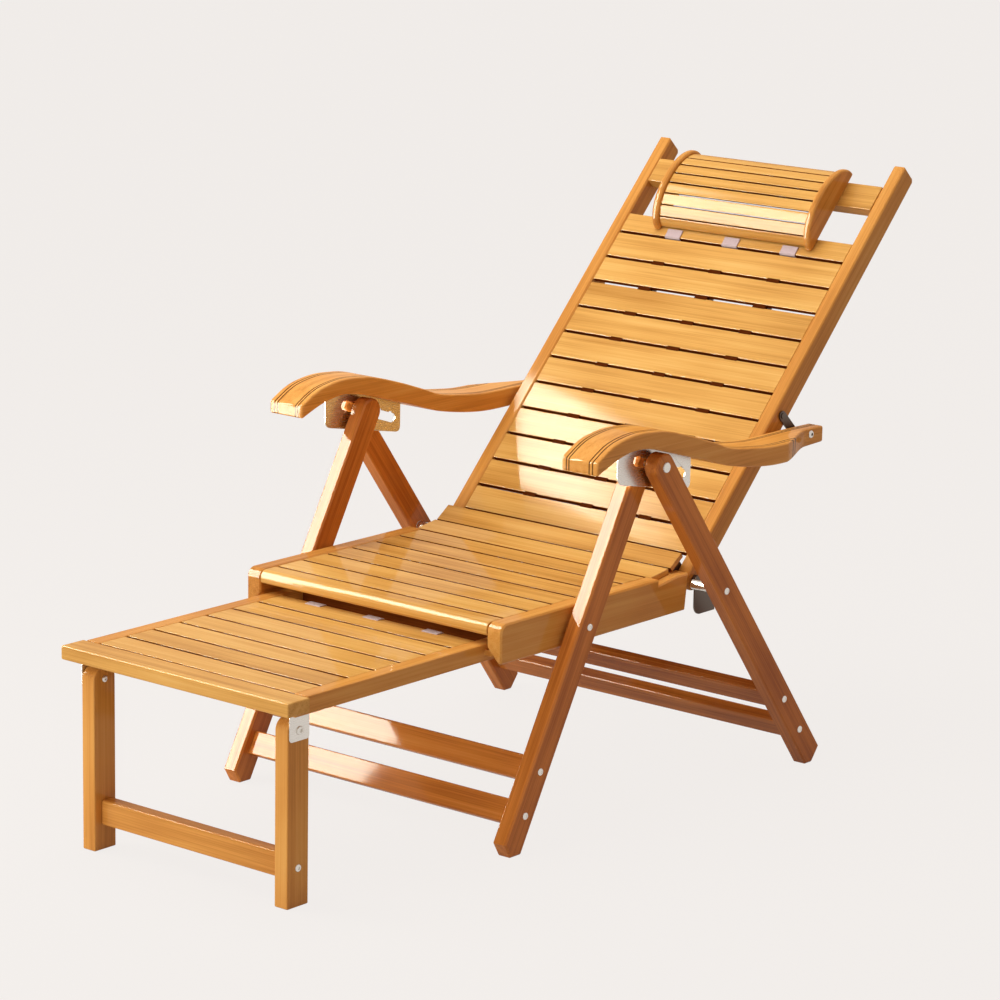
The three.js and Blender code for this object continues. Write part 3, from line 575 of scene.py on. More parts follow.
def dress_bamboo():
    """Every wooden node gets rounded edges and grain, apart from those built anew."""
    for node, slot in sorted(material_slot.items()):
        if not slot.startswith("bamboo") or node.startswith(BUILT_ANEW):
            continue
        obj = copy_of_node(node, f"{node}_wood")
        is_leg = node.startswith(("front_leg", "rear_leg"))
        is_slat = node.startswith(("seat_slat", "back_slat", "footrest_deck"))
        if node.startswith("back_slat"):
            fit_back_slat(obj, EDGE_RISES.get(node, EDGE_RISE),
                          0 if node == LIGHT_SLAT else BACK_SLAT_THICKER)
        if node in LIFTS:
            lift_top(obj, LIFTS[node])
        if node == "seat_slat_knee":
            open_knee(obj)
        width = ROUNDING.get(node, SLAT_ROUNDING if is_slat else OTHER_ROUNDING)
        rounded(obj, width, segments=3, angle=28)
        # A random tone, plus the painted shade of the pieces that lie in shade
        tone = rng.uniform(-TONE_SPREAD, TONE_SPREAD) + SHADE_TONE_SHIFT.get(node.rsplit("_", 1)[0], 0)
        if node == "footrest_deck":
            dress_deck(obj)
            continue
        add_grain(obj, grain_direction(node), tone)
        looks = [slot]
        if is_leg:
            looks.append("steel")
        # Slats get a second look, the painted shade of their edges in the gaps
        if is_slat:
            looks.append("bamboo_painted_shade")
        settle(obj, body_of_node[node], looks, [node])
        if is_leg:
            paint_bolts(obj, node)
        if is_slat:
            shade_edges(obj, *slat_edge(node))


# Footrest deck: seven slats of one solid, with the webbing that ties them
SLAT_GAP = 0.005
FOOT_SLAT_PITCH = 0.0568
FOOT_SLAT_COUNT = 7
FOOT_SLAT_THICKNESS = 0.008
FOOT_SLAT_MARGIN = 0.0035
GRAIN_REACH = 30
SLIGHT = 1e-5


def dress_deck(obj):
    """Each slat gets its own tone, the webbing behind and between them looks like tape, and the
    slats' edges get painted shade.
    """
    low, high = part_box("footrest_deck")
    tones = [rng.uniform(-TONE_SPREAD, TONE_SPREAD) for _ in range(FOOT_SLAT_COUNT)]
    shifts = [rng.uniform(0, GRAIN_REACH) for _ in range(FOOT_SLAT_COUNT)]

    def slat_extra(point):
        index = min(FOOT_SLAT_COUNT - 1, max(0, int((point.y - low.y) / FOOT_SLAT_PITCH)))
        return tones[index], shifts[index]

    add_grain(obj, ACROSS, 0, slat_extra)
    settle(obj, "footrest", ["bamboo_slat", "webbing", "bamboo_painted_shade"],
           ["footrest_deck"])
    underside = high.z - FOOT_SLAT_THICKNESS
    for face in obj.data.polygons:
        under = face.center.z < underside + SLIGHT
        behind = face.center.y > low.y + FOOT_SLAT_COUNT * FOOT_SLAT_PITCH - FOOT_SLAT_MARGIN
        flat_under = abs(face.normal.z) > LEVEL and face.center.z > underside - SLIGHT
        # Edges that look across the deck get painted shade, for the shade in the gaps
        in_painted_shade = abs(face.normal.y) > STEEP_EDGE
        face.material_index = 1 if behind or (under and not flat_under) else 2 if in_painted_shade else 0


def dress_steel():
    for node, slot in sorted(material_slot.items()):
        if slot != "steel" or node.startswith(BUILT_ANEW):
            continue
        obj = copy_of_node(node, f"{node}_metal")
        rounded(obj, width=0.0003, segments=2, angle=30)
        look = "steel_dark" if node.startswith("hinge") else "steel"
        settle(obj, body_of_node[node], [look], [node])


def dress_bands():
    """The bands behind the back slats, moved back by what the slats are thicker."""
    for node in ("back_band_left", "back_band_centre", "back_band_right"):
        obj = copy_of_node(node, f"{node}_tape")
        for vertex in obj.data.vertices:
            vertex.co -= OUT_OF_BACK * BACK_SLAT_THICKER
        rounded(obj, width=0.0004, segments=2, angle=30)
        settle(obj, "back", ["webbing"], [node])


# Headrest: slats bent round a half oval between two rimmed boards
PILLOW_HALF = 0.163
PILLOW_CHORD = 0.162
PILLOW_HEIGHT = 0.046
PILLOW_END = 0.013
PILLOW_END_STEPS = 56
PILLOW_RIM = 0.005
PILLOW_RIM_STEPS = 5
PILLOW_CLEARANCE = 0.0006
PILLOW_INSET = 0.006
PILLOW_SLATS = 9
PILLOW_SLAT = 0.007
PILLOW_SLAT_STEPS = 5
PILLOW_GAP = 0.0017
PILLOW_GAP_STRETCH = 1.6
PILLOW_SHADED_SIDE = 0.6
PILLOW_TONE_SPREAD = 0.06
PILLOW_END_TONES = (-0.05, 0.03)
OVAL_STEPS = 720


def on_pillow(angle, reach, height, across):
    """A point over the back: angle 0 is the lower edge, pi the upper one."""
    along = PILLOW_CHORD / 2 - reach * cos(angle)
    return (PILLOW_HINGE + ALONG_BACK * along + OUT_OF_BACK * (height * sin(angle))
            + ACROSS * across)


def pillow_spot(point):
    """How far along the back from the headrest's middle, and out of the back, a point lies."""
    offset = point - PILLOW_HINGE
    return offset.dot(ALONG_BACK) - PILLOW_CHORD / 2, offset.dot(OUT_OF_BACK)


def add_pillow_end(name, side):
    obj = lofted([[on_pillow(pi * i / PILLOW_END_STEPS, PILLOW_CHORD / 2 - inset,
                             PILLOW_HEIGHT - inset, side * across)
                   for i in range(PILLOW_END_STEPS + 1)] for inset, across in pillow_rim()],
                 f"pillow_end_{name}_board")
    rounded(obj, width=0.0008, segments=2, angle=50)
    add_grain(obj, ALONG_BACK, rng.uniform(*PILLOW_END_TONES))
    settle(obj, "headrest", ["bamboo_rail"], [f"pillow_end_{name}"])


def pillow_rim():
    """Pairs of inset and place across for the board's rounded edge."""
    ends = round_end(PILLOW_RIM, PILLOW_RIM_STEPS)
    first = [(inset, PILLOW_HALF - PILLOW_END + run) for inset, run in ends]
    return first + [(inset, PILLOW_HALF - run) for inset, run in reversed(ends)]


def add_pillow_slats():
    half = PILLOW_HALF - PILLOW_END - PILLOW_CLEARANCE
    reach = PILLOW_CHORD / 2 - PILLOW_INSET
    height = PILLOW_HEIGHT - PILLOW_INSET
    marks = even_angles(reach, height)
    build = bmesh.new()
    for low, high in zip(marks, marks[1:]):
        ring = slat_ring(low, high, reach, height)
        loft(build, [[point + ACROSS * across for point in ring] for across in (-half, half)])
    obj = object_from(build, "pillow_slats_bow")
    rounded(obj, width=0.0009, segments=2, angle=40)
    tones = [rng.uniform(-PILLOW_TONE_SPREAD, PILLOW_TONE_SPREAD) for _ in range(PILLOW_SLATS)]
    shifts = [rng.uniform(0, GRAIN_REACH) for _ in range(PILLOW_SLATS)]

    def slat_extra(point):
        along, out = pillow_spot(point)
        angle = atan2(out / height, -along / reach)
        index = sum(1 for mark in marks[1:-1] if angle > mark)
        return tones[index], shifts[index]

    add_grain(obj, ACROSS, 0, slat_extra)
    settle(obj, "headrest", ["bamboo_pillow", "bamboo_painted_shade"], ["pillow_slats"])
    # The slats' sides in the gaps get painted shade
    for face in obj.data.polygons:
        along, out = pillow_spot(face.center)
        outward = ALONG_BACK * (along / reach ** 2) + OUT_OF_BACK * (out / height ** 2)
        facing = max(abs(face.normal.dot(outward.normalized())), abs(face.normal.x))
        face.material_index = 1 if facing < PILLOW_SHADED_SIDE else 0


def even_angles(reach, height):
    """Angles that split the half oval into slats of equal width."""
    lengths = [0.0]
    for i in range(OVAL_STEPS):
        a, b = pi * i / OVAL_STEPS, pi * (i + 1) / OVAL_STEPS
        step = hypot(reach * (cos(b) - cos(a)), height * (sin(b) - sin(a)))
        lengths.append(lengths[-1] + step)
    marks = []
    for k in range(PILLOW_SLATS + 1):
        wanted = lengths[-1] * k / PILLOW_SLATS
        index = min(range(OVAL_STEPS + 1), key=lambda i: abs(lengths[i] - wanted))
        marks.append(pi * index / OVAL_STEPS)
    return marks


def slat_ring(low, high, reach, height):
    """The section of one narrow slat between two angles, with a small gap to its neighbours."""
    slim = PILLOW_GAP / 2 / max(reach, height) * PILLOW_GAP_STRETCH
    angles = [low + slim + (high - low - 2 * slim) * i / PILLOW_SLAT_STEPS
              for i in range(PILLOW_SLAT_STEPS + 1)]
    outer = [on_pillow(a, reach, height, 0) for a in angles]
    inner = [on_pillow(a, reach - PILLOW_SLAT, height - PILLOW_SLAT, 0)
             for a in reversed(angles)]
    return outer + inner


# Tapes of webbing at the headrest and the footrest, and the bands' ends in the back's gaps in
# painted shade
TAB_WIDTH = 0.031
TAB_PLACES = (-0.119, 0, 0.119)
TAB_THICKNESS = 0.0016
HEADREST_TAB_PATH = ((-0.0117, -0.012), (-0.0117, -0.0032), (-0.0107, -0.0022),
                     (-0.003, -0.0022), (0.004, -0.0014))
FOOT_TAB_PATH = ((-0.0145, -0.0002), (-0.0005, 0), (0.0007, -0.0009), (0.0007, -0.0075))
FIRST_SLAT_SPOTS = [back_spot(vertex.co) for vertex in nodes["back_slat_1"].data.vertices]
BACK_SLAT_PITCH = 0.05273
BACK_SLAT_START = min(along for along, out in FIRST_SLAT_SPOTS)
BACK_FACE = max(out for along, out in FIRST_SLAT_SPOTS)
STEP_HALF = 0.0125
STEP_UNDER, STEP_OVER = 0.0016, 0.0012
STEP_DEPTH, STEP_PROUD = 0.0065, 0.0003
STEP_SHADE_TONE = -0.45


def side_of(across):
    return {-1: "left", 0: "centre", 1: "right"}[(across > 0) - (across < 0)]


def tape(name, path, across, origin, along_axis, out_axis):
    """A strip of webbing along a path in the side plane of the two axes."""
    rings = []
    for index, (along, out) in enumerate(path):
        ahead = path[min(index + 1, len(path) - 1)]
        behind = path[max(index - 1, 0)]
        run = Vector((ahead[0] - behind[0], ahead[1] - behind[1])).normalized()
        across_run = Vector((-run.y, run.x))
        ring = []
        for x, lift in ((-1, 0), (1, 0), (1, 1), (-1, 1)):
            spot = Vector((along, out)) + across_run * (TAB_THICKNESS * lift)
            ring.append(origin + along_axis * spot.x + out_axis * spot.y
                        + ACROSS * (across + x * TAB_WIDTH / 2))
        rings.append(ring)
    obj = lofted(rings, name)
    rounded(obj, width=0.0004, segments=2, angle=30)
    return obj


def add_tab(across):
    """A tape that comes up between two slats and lies over the narrow one to the headrest."""
    obj = tape(f"headrest_tab_{side_of(across)}", HEADREST_TAB_PATH, across,
               PILLOW_HINGE, ALONG_BACK, OUT_OF_BACK)
    settle(obj, "back", ["webbing"])


def add_foot_tab(across):
    """A tape that ends over the rear edge of the footrest's last slat."""
    low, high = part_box("footrest_deck")
    edge = low.y + FOOT_SLAT_COUNT * FOOT_SLAT_PITCH - SLAT_GAP
    top = high.z + LIFTS["footrest_deck"]
    path = [(edge + along, top + out) for along, out in FOOT_TAB_PATH]
    obj = tape(f"footrest_tab_{side_of(across)}", path, across, Vector((0, 0, 0)), REARWARD, UP)
    settle(obj, "footrest", ["webbing"])


def add_band_steps():
    """The bands' nailed ends in the gaps between the slats of the back, dark with painted shade.
    """
    build = bmesh.new()
    back, front = BACK_FACE - STEP_DEPTH, BACK_FACE + STEP_PROUD
    for i in range(1, 11):
        low = i * BACK_SLAT_PITCH + BACK_SLAT_START
        outline = rectangle(low - SLAT_GAP - STEP_UNDER, low + STEP_OVER, back, front)
        for across in TAB_PLACES:
            loft(build, [[HINGE + ALONG_BACK * along + OUT_OF_BACK * out + ACROSS * (across + x)
                          for along, out in outline] for x in (-STEP_HALF, STEP_HALF)])
    obj = object_from(build, "back_band_steps")
    rounded(obj, width=0.0004, segments=2, angle=30)
    # A low tone on the dark look: painted shade
    add_grain(obj, ACROSS, STEP_SHADE_TONE)
    settle(obj, "back", ["bamboo_painted_shade"])


# Armrests: three strips glued side by side, drawn from the leg pivot
ARM_OUTER = ARM_INNER + ARM_WIDTH
ARM_TONGUE = ARM_INNER + 0.029
ARM_NOSE = -0.168
ARM_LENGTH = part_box("armrest_right")[1].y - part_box("armrest_right")[0].y
ARM_RISE = 0.1
ARM_BASE = -0.038
ARM_ROUND = 0.0032
ARM_ROUND_STEPS = 4
ARM_TONES = (-0.03, 0.03)
ARM_STATIONS = 110
ARM_LINE_STEPS = 12
SWEEP_START = 0.482
SWEEP_LENGTH = 0.105
SWEEP_SHARES = ((0.8, 0), (0.4, 0.64))
SWEEP_STEPS = 40
GROOVE_HALF = 0.0011
GROOVE_DEPTH = 0.0012
GROOVE_MARGIN = 0.0004
GROOVE_STAGGER = 2e-6
ARM_TOP_SHARES = (
    (0, 0.71), (0.047, 0.87), (0.087, 0.95), (0.148, 1), (0.204, 0.99), (0.267, 0.94),
    (0.365, 0.77), (0.457, 0.58), (0.532, 0.42), (0.641, 0.32), (0.725, 0.28), (0.889, 0.28),
    (1, 0.27))
ARM_UNDER_SHARES = (
    (0, 0.5), (0.073, 0.67), (0.142, 0.75), (0.213, 0.71), (0.327, 0.51), (0.425, 0.33),
    (0.526, 0.14), (0.662, 0), (0.782, -0.03), (1, 0.01))


def spline_points(shares):
    """A smooth line through the shares, as pairs of share along and share of the rise."""
    line = []
    last = len(shares) - 1
    for i in range(last):
        knots = (shares[max(i - 1, 0)], shares[i], shares[i + 1], shares[min(i + 2, last)])
        for step in range(ARM_LINE_STEPS + (i == last - 1)):
            t = step / ARM_LINE_STEPS
            point = []
            for a, b, c, d in zip(*knots):
                v0, v1 = (c - a) / 2, (d - b) / 2
                point.append((2 * b - 2 * c + v0 + v1) * t ** 3
                             + (3 * c - 3 * b - 2 * v0 - v1) * t ** 2 + v0 * t + b)
            line.append(tuple(point))
    return line


def line_at(line, place):
    """The second value of a line of pairs where its first value is the place."""
    for (a, low), (b, high) in zip(line, line[1:]):
        if place <= b:
            return low + (high - low) * (place - a) / (b - a) if b > a else low
    return line[-1][1]


def sweep_line():
    """The outer edge of the arm where it narrows, as pairs of place along and place across."""
    span = ARM_OUTER - ARM_TONGUE
    start = ARM_NOSE + SWEEP_START
    (a1, s1), (a2, s2) = SWEEP_SHARES
    knots = ((start, ARM_OUTER), (start + a2 * SWEEP_LENGTH, ARM_TONGUE + s2 * span),
             (start + a1 * SWEEP_LENGTH, ARM_TONGUE + s1 * span),
             (start + SWEEP_LENGTH, ARM_TONGUE))
    line = []
    for i in range(SWEEP_STEPS + 1):
        t = i / SWEEP_STEPS
        weights = ((1 - t) ** 3, 3 * t * (1 - t) ** 2, 3 * t * t * (1 - t), t ** 3)
        line.append(tuple(sum(w * knot[k] for w, knot in zip(weights, knots)) for k in (0, 1)))
    return line


def arm_corner(x, z, start):
    """A quarter circle about a point, as the rounding of one edge of the arm."""
    return arc(x, z, ARM_ROUND, start, 90, ARM_ROUND_STEPS)


def arm_ring(place, inset, top_line, under_line, sweep):
    """A section across the arm, as pairs of place across and height over the pivot."""
    share = (place - ARM_NOSE) / ARM_LENGTH
    top = line_at(top_line, share) * ARM_RISE + ARM_BASE - inset
    under = line_at(under_line, share) * ARM_RISE + ARM_BASE + inset
    inner = ARM_INNER + inset
    outer = (ARM_OUTER if place <= sweep[0][0] else line_at(sweep, place)) - inset
    ring = arm_corner(outer - ARM_ROUND, under + ARM_ROUND, -90)
    ring += arm_corner(outer - ARM_ROUND, top - ARM_ROUND, 0)
    limit = outer - ARM_ROUND - GROOVE_MARGIN
    for middle in reversed(ARM_LINES):
        deep = GROOVE_DEPTH if middle + GROOVE_HALF < limit else 0
        for offset, drop in ((GROOVE_HALF, 0), (0, deep), (-GROOVE_HALF, 0)):
            # Points past the narrowing edge gather at the limit, a trifle apart
            ring.append((min(middle + offset, limit - GROOVE_STAGGER * len(ring)), top - drop))
    ring += arm_corner(inner + ARM_ROUND, top - ARM_ROUND, 90)
    ring += arm_corner(inner + ARM_ROUND, under + ARM_ROUND, 180)
    return ring


def add_armrest(name, side):
    top_line, under_line = spline_points(ARM_TOP_SHARES), spline_points(ARM_UNDER_SHARES)
    sweep = sweep_line()
    tail = ARM_NOSE + ARM_LENGTH
    ends = round_end(ARM_ROUND, ARM_ROUND_STEPS)
    stations = [(ARM_NOSE + run, inset) for inset, run in ends]
    stations += [(ARM_NOSE + ARM_ROUND + (ARM_LENGTH - 2 * ARM_ROUND) * i / ARM_STATIONS, 0)
                 for i in range(1, ARM_STATIONS)]
    stations += [(tail - run, inset) for inset, run in reversed(ends)]
    obj = lofted([[Vector((side * x, PIVOT.y + place, PIVOT.z + z))
                   for x, z in arm_ring(place, inset, top_line, under_line, sweep)]
                  for place, inset in stations], f"armrest_{name}_strips")
    smooth_sides(obj, angle=38)
    add_grain(obj, REARWARD, rng.uniform(*ARM_TONES))
    settle(obj, body_of_node[f"armrest_{name}"], ["bamboo_arm"],
           [f"armrest_{name}"])


# Foot legs, their brackets and the rail behind the footrest's slats
FOOT_LEG_HALF = 0.022
FOOT_LEG_TOP = 0.019
FOOT_LEG_STEPS = 24
FOOT_LEG_TONES = (-0.05, 0.05)
BRACKET_HALF = 0.0204
BRACKET_DROP = 0.04
BRACKET_THICKNESS = 0.0016
BRACKET_CORNER = 0.005
BRACKET_CORNER_STEPS = 5
FOOT_ROD_RADIUS = 0.004
ROD_OVERRUN = 0.001
FOOT_BOLT_RADIUS, FOOT_BOLT_HEIGHT = 0.0066, 0.0028
FOOT_NUT_RADIUS, FOOT_NUT_HEIGHT = 0.0052, 0.0022
REAR_RAIL_FRONT, REAR_RAIL_BACK = -0.249, -0.219
REAR_RAIL_HEIGHT = 0.024
REAR_RAIL_CLEARANCE = 0.0002
STEEL_CLEARANCE = 0.0003


def add_foot_leg(name, side):
    low, high = sorted(side * edge for edge in leg_span(f"foot_leg_{name}"))
    outline = [(-FOOT_LEG_HALF, -FOOT_PIVOT.z), (FOOT_LEG_HALF, -FOOT_PIVOT.z)]
    turns = [pi * k / FOOT_LEG_STEPS for k in range(FOOT_LEG_STEPS + 1)]
    outline += [(FOOT_LEG_HALF * cos(turn), FOOT_LEG_TOP * sin(turn)) for turn in turns]
    obj = extruded([(FOOT_PIVOT.y + y, FOOT_PIVOT.z + z) for y, z in outline], low, high,
                   f"foot_leg_{name}_wood")
    rounded(obj, width=0.0022, segments=3, angle=40)
    add_grain(obj, UP, rng.uniform(*FOOT_LEG_TONES))
    settle(obj, "foot_legs", ["bamboo_rail"], [f"foot_leg_{name}"])


def bracket_outline(left, bottom, right, top):
    """A rectangle with rounded corners."""
    radius = BRACKET_CORNER
    centres = rectangle(left + radius, right - radius, bottom + radius, top - radius)
    points = []
    for (x, y), start in zip(centres[1:] + centres[:1], (-90, 0, 90, 180)):
        points += arc(x, y, radius, start, 90, BRACKET_CORNER_STEPS)
    return points


def add_foot_bracket(name, side):
    """A plate on the leg's outer side, bent over the leg's top, with the bolt of the leg."""
    inner, outer = leg_span(f"foot_leg_{name}")
    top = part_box(f"foot_bracket_{name}")[1].z
    y = FOOT_PIVOT.y
    face = outer + STEEL_CLEARANCE
    outline = bracket_outline(y - BRACKET_HALF, top - BRACKET_DROP, y + BRACKET_HALF, top)
    low, high = sorted((side * face, side * (face + BRACKET_THICKNESS)))
    obj = extruded(outline, low, high, f"foot_bracket_{name}_plate")
    build = bmesh.new()
    build.from_mesh(obj.data)
    ahead, behind = y - BRACKET_HALF + BRACKET_CORNER, y + BRACKET_HALF - BRACKET_CORNER
    web = rectangle(ahead, behind, top - BRACKET_THICKNESS, top)
    low, high = sorted((side * inner, side * face))
    loft(build, [[Vector((x, a, b)) for a, b in web] for x in (low, high)])
    add_rod(build, FOOT_PIVOT, FOOT_ROD_RADIUS, side * (inner - ROD_OVERRUN),
            side * (face + ROD_OVERRUN))
    build.to_mesh(obj.data)
    build.free()
    rounded(obj, width=0.0005, segments=2, angle=40)
    settle(obj, "footrest", ["steel"], [f"foot_bracket_{name}"])
    spot = Vector((side * (face + BRACKET_THICKNESS), y, FOOT_PIVOT.z))
    add_head(f"foot_bolt_{name}", spot, side, FOOT_BOLT_RADIUS, FOOT_BOLT_HEIGHT, "footrest")
    spot = Vector((side * inner, y, FOOT_PIVOT.z))
    add_head(f"foot_nut_{name}", spot, -side, FOOT_NUT_RADIUS, FOOT_NUT_HEIGHT, "footrest")


def add_foot_rear_rail():
    """The cross rail that ties the footrest's rails, under the seat, dark with painted shade for
    the shade there.
    """
    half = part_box("footrest_deck")[1].x - REAR_RAIL_CLEARANCE
    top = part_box("footrest_deck")[1].z
    outline = rectangle(REAR_RAIL_FRONT, REAR_RAIL_BACK, top - REAR_RAIL_HEIGHT, top)
    obj = extruded(outline, -half, half, "footrest_rear_rail")
    rounded(obj, width=0.0015, segments=3, angle=40)
    add_grain(obj, ACROSS, 0)
    # The dark look is painted shade
    settle(obj, "footrest", ["bamboo_painted_shade"])


# Steel links between the back rails and the arms
LINK_HALF = 0.008
LINK_TURN_STEPS = 12
LINK_PIN_ALONG = 0.3177
LINK_REACH = 0.0427
LINK_THICKNESS = 0.003
LINK_PIN_RADIUS, LINK_PIN_START, LINK_PIN_END = 0.005, -0.01, 0.005
LINK_SLEEVE_RADIUS = 0.0064
LINK_BOLT_RADIUS = 0.0035
ARM_BOLT_RADIUS, ARM_BOLT_HEIGHT = 0.0062, 0.0028


def add_arm_link(name, side):
    """A strap on the back rail's side, with its pin, and the sleeve and bolt of the arm."""
    node = f"arm_link_{name}"
    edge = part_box(f"back_rail_{name}")[1].x if side > 0 else -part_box(f"back_rail_{name}")[0].x
    first = HINGE + ALONG_BACK * LINK_PIN_ALONG
    second = first - OUT_OF_BACK * LINK_REACH
    outline = []
    for centre, start in ((first, 0), (second, 180)):
        for along, out in arc(0, 0, LINK_HALF, start, 180, LINK_TURN_STEPS):
            offset = ALONG_BACK * along + OUT_OF_BACK * out
            outline.append((centre.y + offset.y, centre.z + offset.z))
    face = edge + STEEL_CLEARANCE
    low, high = sorted((side * face, side * (face + LINK_THICKNESS)))
    obj = extruded(outline, low, high, f"{node}_strap")
    build = bmesh.new()
    build.from_mesh(obj.data)
    tail = ARM_TONGUE + STEEL_CLEARANCE
    behind = edge + LINK_THICKNESS
    for centre, radius, start, end in (
            (first, LINK_PIN_RADIUS, edge + LINK_PIN_START, edge + LINK_PIN_END),
            (second, LINK_SLEEVE_RADIUS, behind, ARM_INNER - STEEL_CLEARANCE),
            (second, LINK_BOLT_RADIUS, behind, tail + ROD_OVERRUN)):
        add_rod(build, centre, radius, side * start, side * end)
    build.to_mesh(obj.data)
    build.free()
    rounded(obj, width=0.0005, segments=2, angle=40)
    settle(obj, body_of_node[node], ["steel_dark"], [node])
    spot = Vector((side * tail, second.y, second.z))
    add_head(f"arm_bolt_{name}", spot, side, ARM_BOLT_RADIUS, ARM_BOLT_HEIGHT,
             body_of_node[node])


# Round-headed bolts and screws: pairs of share of the radius and of the height, to the socket
SOCKET_SHARE = 0.42
SOCKET_TAPER = 0.98
SOCKET_FLOOR = 0.35
HEAD_PROFILE = ((1.0, -0.2), (1.0, 0.25), (0.9, 0.62), (0.74, 0.86), (0.55, 1.0),
                (SOCKET_SHARE, 1.0), (SOCKET_SHARE * SOCKET_TAPER, SOCKET_FLOOR))
HEAD_SIDES = 28
FRONT_STRETCHER_HEIGHTS = (0.1198, 0.0586)
REAR_STRETCHER_HEIGHTS = (0.1229, 0.0632)
SEAT_BOLT_DOWN = 0.2645
REST_BOLT_DOWN = 0.2767
REST_BOLT_FORWARD = 0.0044
FOOT_STRETCHER_HEIGHT = 0.0585
SCREW_RADIUS = 0.0058
SCREW_HEIGHT = 0.0023
PIVOT_BOLT_RADIUS = 0.0083
PIVOT_BOLT_HEIGHT = 0.0036
PIVOT_BOLT_OUT = 0.0005


def add_head(name, centre, side, radius, height, body):
    """A domed head over the plain one of the frame, facing out along x."""
    obj = lofted([[centre + Vector((side * height * rise, radius * share * cos(turn),
                                    radius * share * sin(turn)))
                   for turn in circle(HEAD_SIDES)] for share, rise in HEAD_PROFILE], name)
    smooth_sides(obj, angle=40)
    settle(obj, body, ["steel"])


def down_leg(lean, distance, forward=0.0):
    """The point at that distance down a leg from the pivot, and forward of its middle."""
    ahead = Vector((0, -cos(lean), -sin(lean)))
    return Vector((0, PIVOT.y, PIVOT.z)) + leaning(lean) * distance + ahead * forward


def add_screw(name, spot, side, across, body):
    spot.x = side * across
    add_head(name, spot, side, SCREW_RADIUS, SCREW_HEIGHT, body)


def add_heads():
    front_outer = leg_span("front_leg_right")[1]
    rear_outer = leg_span("rear_leg_right")[1]
    foot_outer = leg_span("foot_leg_right")[1]
    frames = (("front", -FRONT_LEG_LEAN, FRONT_STRETCHER_HEIGHTS, front_outer),
              ("rear", REAR_LEG_LEAN, REAR_STRETCHER_HEIGHTS, rear_outer))
    for name, side in SIDES:
        for end, lean, heights, outer in frames:
            for level, height in zip(("upper", "lower"), heights):
                spot = down_leg(lean, (PIVOT.z - height) / cos(lean))
                add_screw(f"{end}_{level}_screw_{name}", spot, side, outer, f"{end}_legs")
        spot = down_leg(-FRONT_LEG_LEAN, SEAT_BOLT_DOWN)
        add_screw(f"seat_bolt_{name}", spot, side, front_outer, "front_legs")
        spot = down_leg(REAR_LEG_LEAN, REST_BOLT_DOWN, REST_BOLT_FORWARD)
        add_screw(f"rest_bolt_{name}", spot, side, rear_outer, "rear_legs")
        spot = Vector((side * (rear_outer + PIVOT_BOLT_OUT), PIVOT.y, PIVOT.z))
        add_head(f"pivot_bolt_{name}", spot, side, PIVOT_BOLT_RADIUS, PIVOT_BOLT_HEIGHT,
                 "front_legs")
        spot = Vector((0, FOOT_PIVOT.y, FOOT_STRETCHER_HEIGHT))
        add_screw(f"foot_screw_{name}", spot, side, foot_outer, "foot_legs")


# Studio: a pale floor and backdrop, three soft lamps, and softboxes for the reflections
BACKGROUND = (0.8796, 0.8469, 0.8228, 1)
BACKGROUND_STRENGTH = 1.0
FLOOR_SIZE = 60
FLOOR_DROP = -0.0006
FLOOR_COLOR = (0.50, 0.49, 0.48, 1)
FLOOR_ROUGHNESS = 0.9
FLOOR_GLOW = 1.03
FLOOR_GLOW_SHARE = 0.95
SKY_COLOR = (1.0, 0.72, 0.52, 1)
SKY_STRENGTH = 0.44
LAMP_COLOR = (1.0, 1.0, 0.97)
LAMP_DISTANCE = 3.4
LAMP_AIM = Vector((0, 0, 0.45))
SOFTBOX_COLOR = (1.0, 0.99, 0.84)
SOFTBOX_AZIMUTH = radians(-48)
SOFTBOX_DISTANCE = 1.7
SOFTBOX_RADIANCE = 44
PATCH_TILT = radians(49.5)
PATCH_SHARES = (1.0, 0.84, 0.66, 0.48, 0.3, 0.14)
PATCH_WIDTHS = (0.2, 0.055, 0.055, 0.055, 0.055, 0.055)
PATCH_START = 1.283
PATCH_ALONG = 2.445
PATCH_LENGTH = 0.35


def background_rays(tree):
    """1 for the rays that show the background: camera, glossy and transmission rays."""
    ray = node_of(tree, "ShaderNodeLightPath")
    seen = maths(tree, "MAXIMUM", ray.outputs["Is Camera Ray"], ray.outputs["Is Glossy Ray"])
    return maths(tree, "MAXIMUM", seen, ray.outputs["Is Transmission Ray"])


def mix_shaders(tree, factor, first, second, surface):
    blend = node_of(tree, "ShaderNodeMixShader")
    for socket, output in zip(blend.inputs, (factor, first, second)):
        tree.links.new(output, socket)
    tree.links.new(blend.outputs[0], surface)


def add_floor():
    """A pale floor that shows the backdrop's colour, and keeps a soft shadow."""
    bpy.ops.mesh.primitive_plane_add(size=FLOOR_SIZE, location=(0, 0, FLOOR_DROP))
    floor = bpy.context.object
    floor.name = "floor"
    material, tree, shader = new_material("floor")
    set_values(shader, {"Base Color": FLOOR_COLOR, "Roughness": FLOOR_ROUGHNESS})
    glow = node_of(tree, "ShaderNodeEmission")
    set_values(glow, {"Color": BACKGROUND, "Strength": FLOOR_GLOW})
    share = maths(tree, "MULTIPLY", background_rays(tree), FLOOR_GLOW_SHARE)
    mix_shaders(tree, share, shader.outputs[0], glow.outputs[0],
                tree.nodes["Material Output"].inputs["Surface"])
    floor.data.materials.append(material)


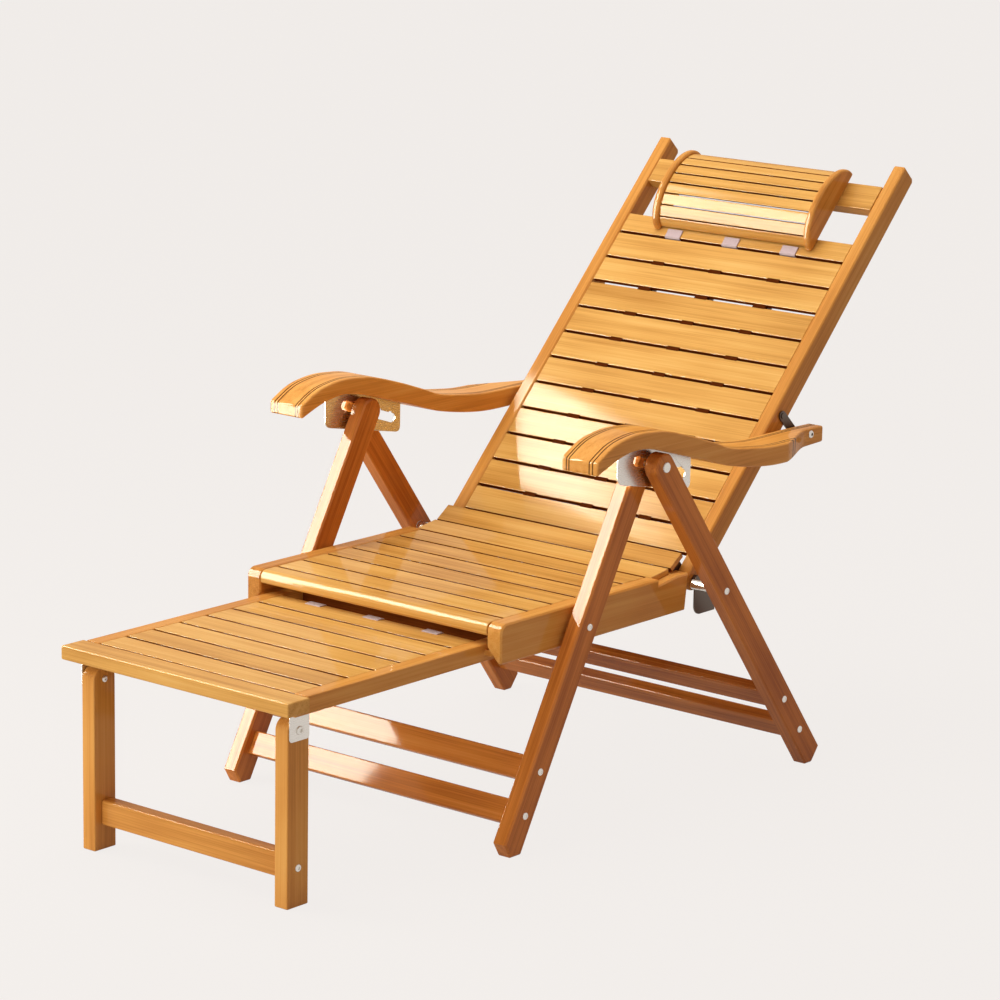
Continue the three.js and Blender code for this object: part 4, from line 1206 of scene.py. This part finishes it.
def add_world():
    """Soft warm light from all around, and the pale backdrop where it is seen."""
    world = bpy.data.worlds.new("studio")
    bpy.context.scene.world = world
    world.use_nodes = True
    tree = world.node_tree
    shade = tree.nodes["Background"]
    set_values(shade, {"Color": SKY_COLOR, "Strength": SKY_STRENGTH})
    seen = node_of(tree, "ShaderNodeBackground")
    set_values(seen, {"Color": BACKGROUND, "Strength": BACKGROUND_STRENGTH})
    mix_shaders(tree, background_rays(tree), shade.outputs[0], seen.outputs[0],
                tree.nodes["World Output"].inputs["Surface"])


def area_light(name, width, height, color, energy):
    data = bpy.data.lights.new(name, "AREA")
    data.shape = "RECTANGLE"
    data.size = width
    data.size_y = height
    data.color = color
    data.energy = energy
    return link(bpy.data.objects.new(name, data))


def add_lamp(name, azimuth, elevation, width, height, watts, distance=LAMP_DISTANCE,
             aim=LAMP_AIM):
    """A soft lamp that shows in no reflection. Azimuth and elevation are in degrees."""
    lamp = area_light(name, width, height, LAMP_COLOR, watts)
    away = towards(radians(azimuth), radians(elevation))
    lamp.location = aim + away * distance
    lamp.rotation_euler = away.to_track_quat("Z", "Y").to_euler()
    lamp.visible_glossy = False


def add_softbox(name, across, up, width, height, radiance=SOFTBOX_RADIANCE, tilt=0.0):
    """An upright rectangle that faces the chair, placed across and up as the chair sees it.

    It shows only in the lacquer and the metal.
    """
    away = towards(SOFTBOX_AZIMUTH, 0)
    side = Vector((-away.y, away.x, 0))
    lamp = area_light(name, width, height, SOFTBOX_COLOR, radiance * pi * width * height)
    lamp.location = away * SOFTBOX_DISTANCE + side * across + UP * up
    turn = away.to_track_quat("Z", "Y") @ Matrix.Rotation(tilt, 3, "Z").to_quaternion()
    lamp.rotation_euler = turn.to_euler()
    lamp.visible_diffuse = False


def add_lights():
    """The lamps, two softboxes, and a tilted row of patches that fade to one side."""
    add_lamp("key", azimuth=-48, elevation=31, width=1.6, height=1.6, watts=44)
    add_lamp("top", azimuth=-60, elevation=78, width=2.4, height=2.4, watts=80)
    add_lamp("front", azimuth=-8, elevation=3, width=2.0, height=0.9, watts=28, distance=3.2,
             aim=Vector((0, 0, 0.3)))
    add_softbox("softbox_low", across=-0.16, up=0.55, width=0.88, height=1.0)
    add_softbox("softbox_high", across=-0.08, up=1.75, width=1.04, height=1.4)
    cosine, sine = cos(PATCH_TILT), sin(PATCH_TILT)
    for step, (share, width) in enumerate(zip(PATCH_SHARES, PATCH_WIDTHS)):
        reach = PATCH_START + sum(PATCH_WIDTHS[:step]) + width / 2
        add_softbox(f"softbox_patch_{step}", reach * cosine - PATCH_ALONG * sine,
                    reach * sine + PATCH_ALONG * cosine, width, PATCH_LENGTH,
                    SOFTBOX_RADIANCE * share, PATCH_TILT)


add_camera()
dress_bamboo()
dress_steel()
dress_bands()
add_pillow_slats()
for name, side in SIDES:
    add_pillow_end(name, side)
for across in TAB_PLACES:
    add_tab(across)
    add_foot_tab(across)
add_band_steps()
for name, side in SIDES:
    add_armrest(name, side)
    add_foot_leg(name, side)
    add_foot_bracket(name, side)
    add_arm_link(name, side)
add_foot_rear_rail()
add_heads()
add_floor()
add_world()
add_lights()

bpy.context.scene.view_settings.view_transform = "Standard"
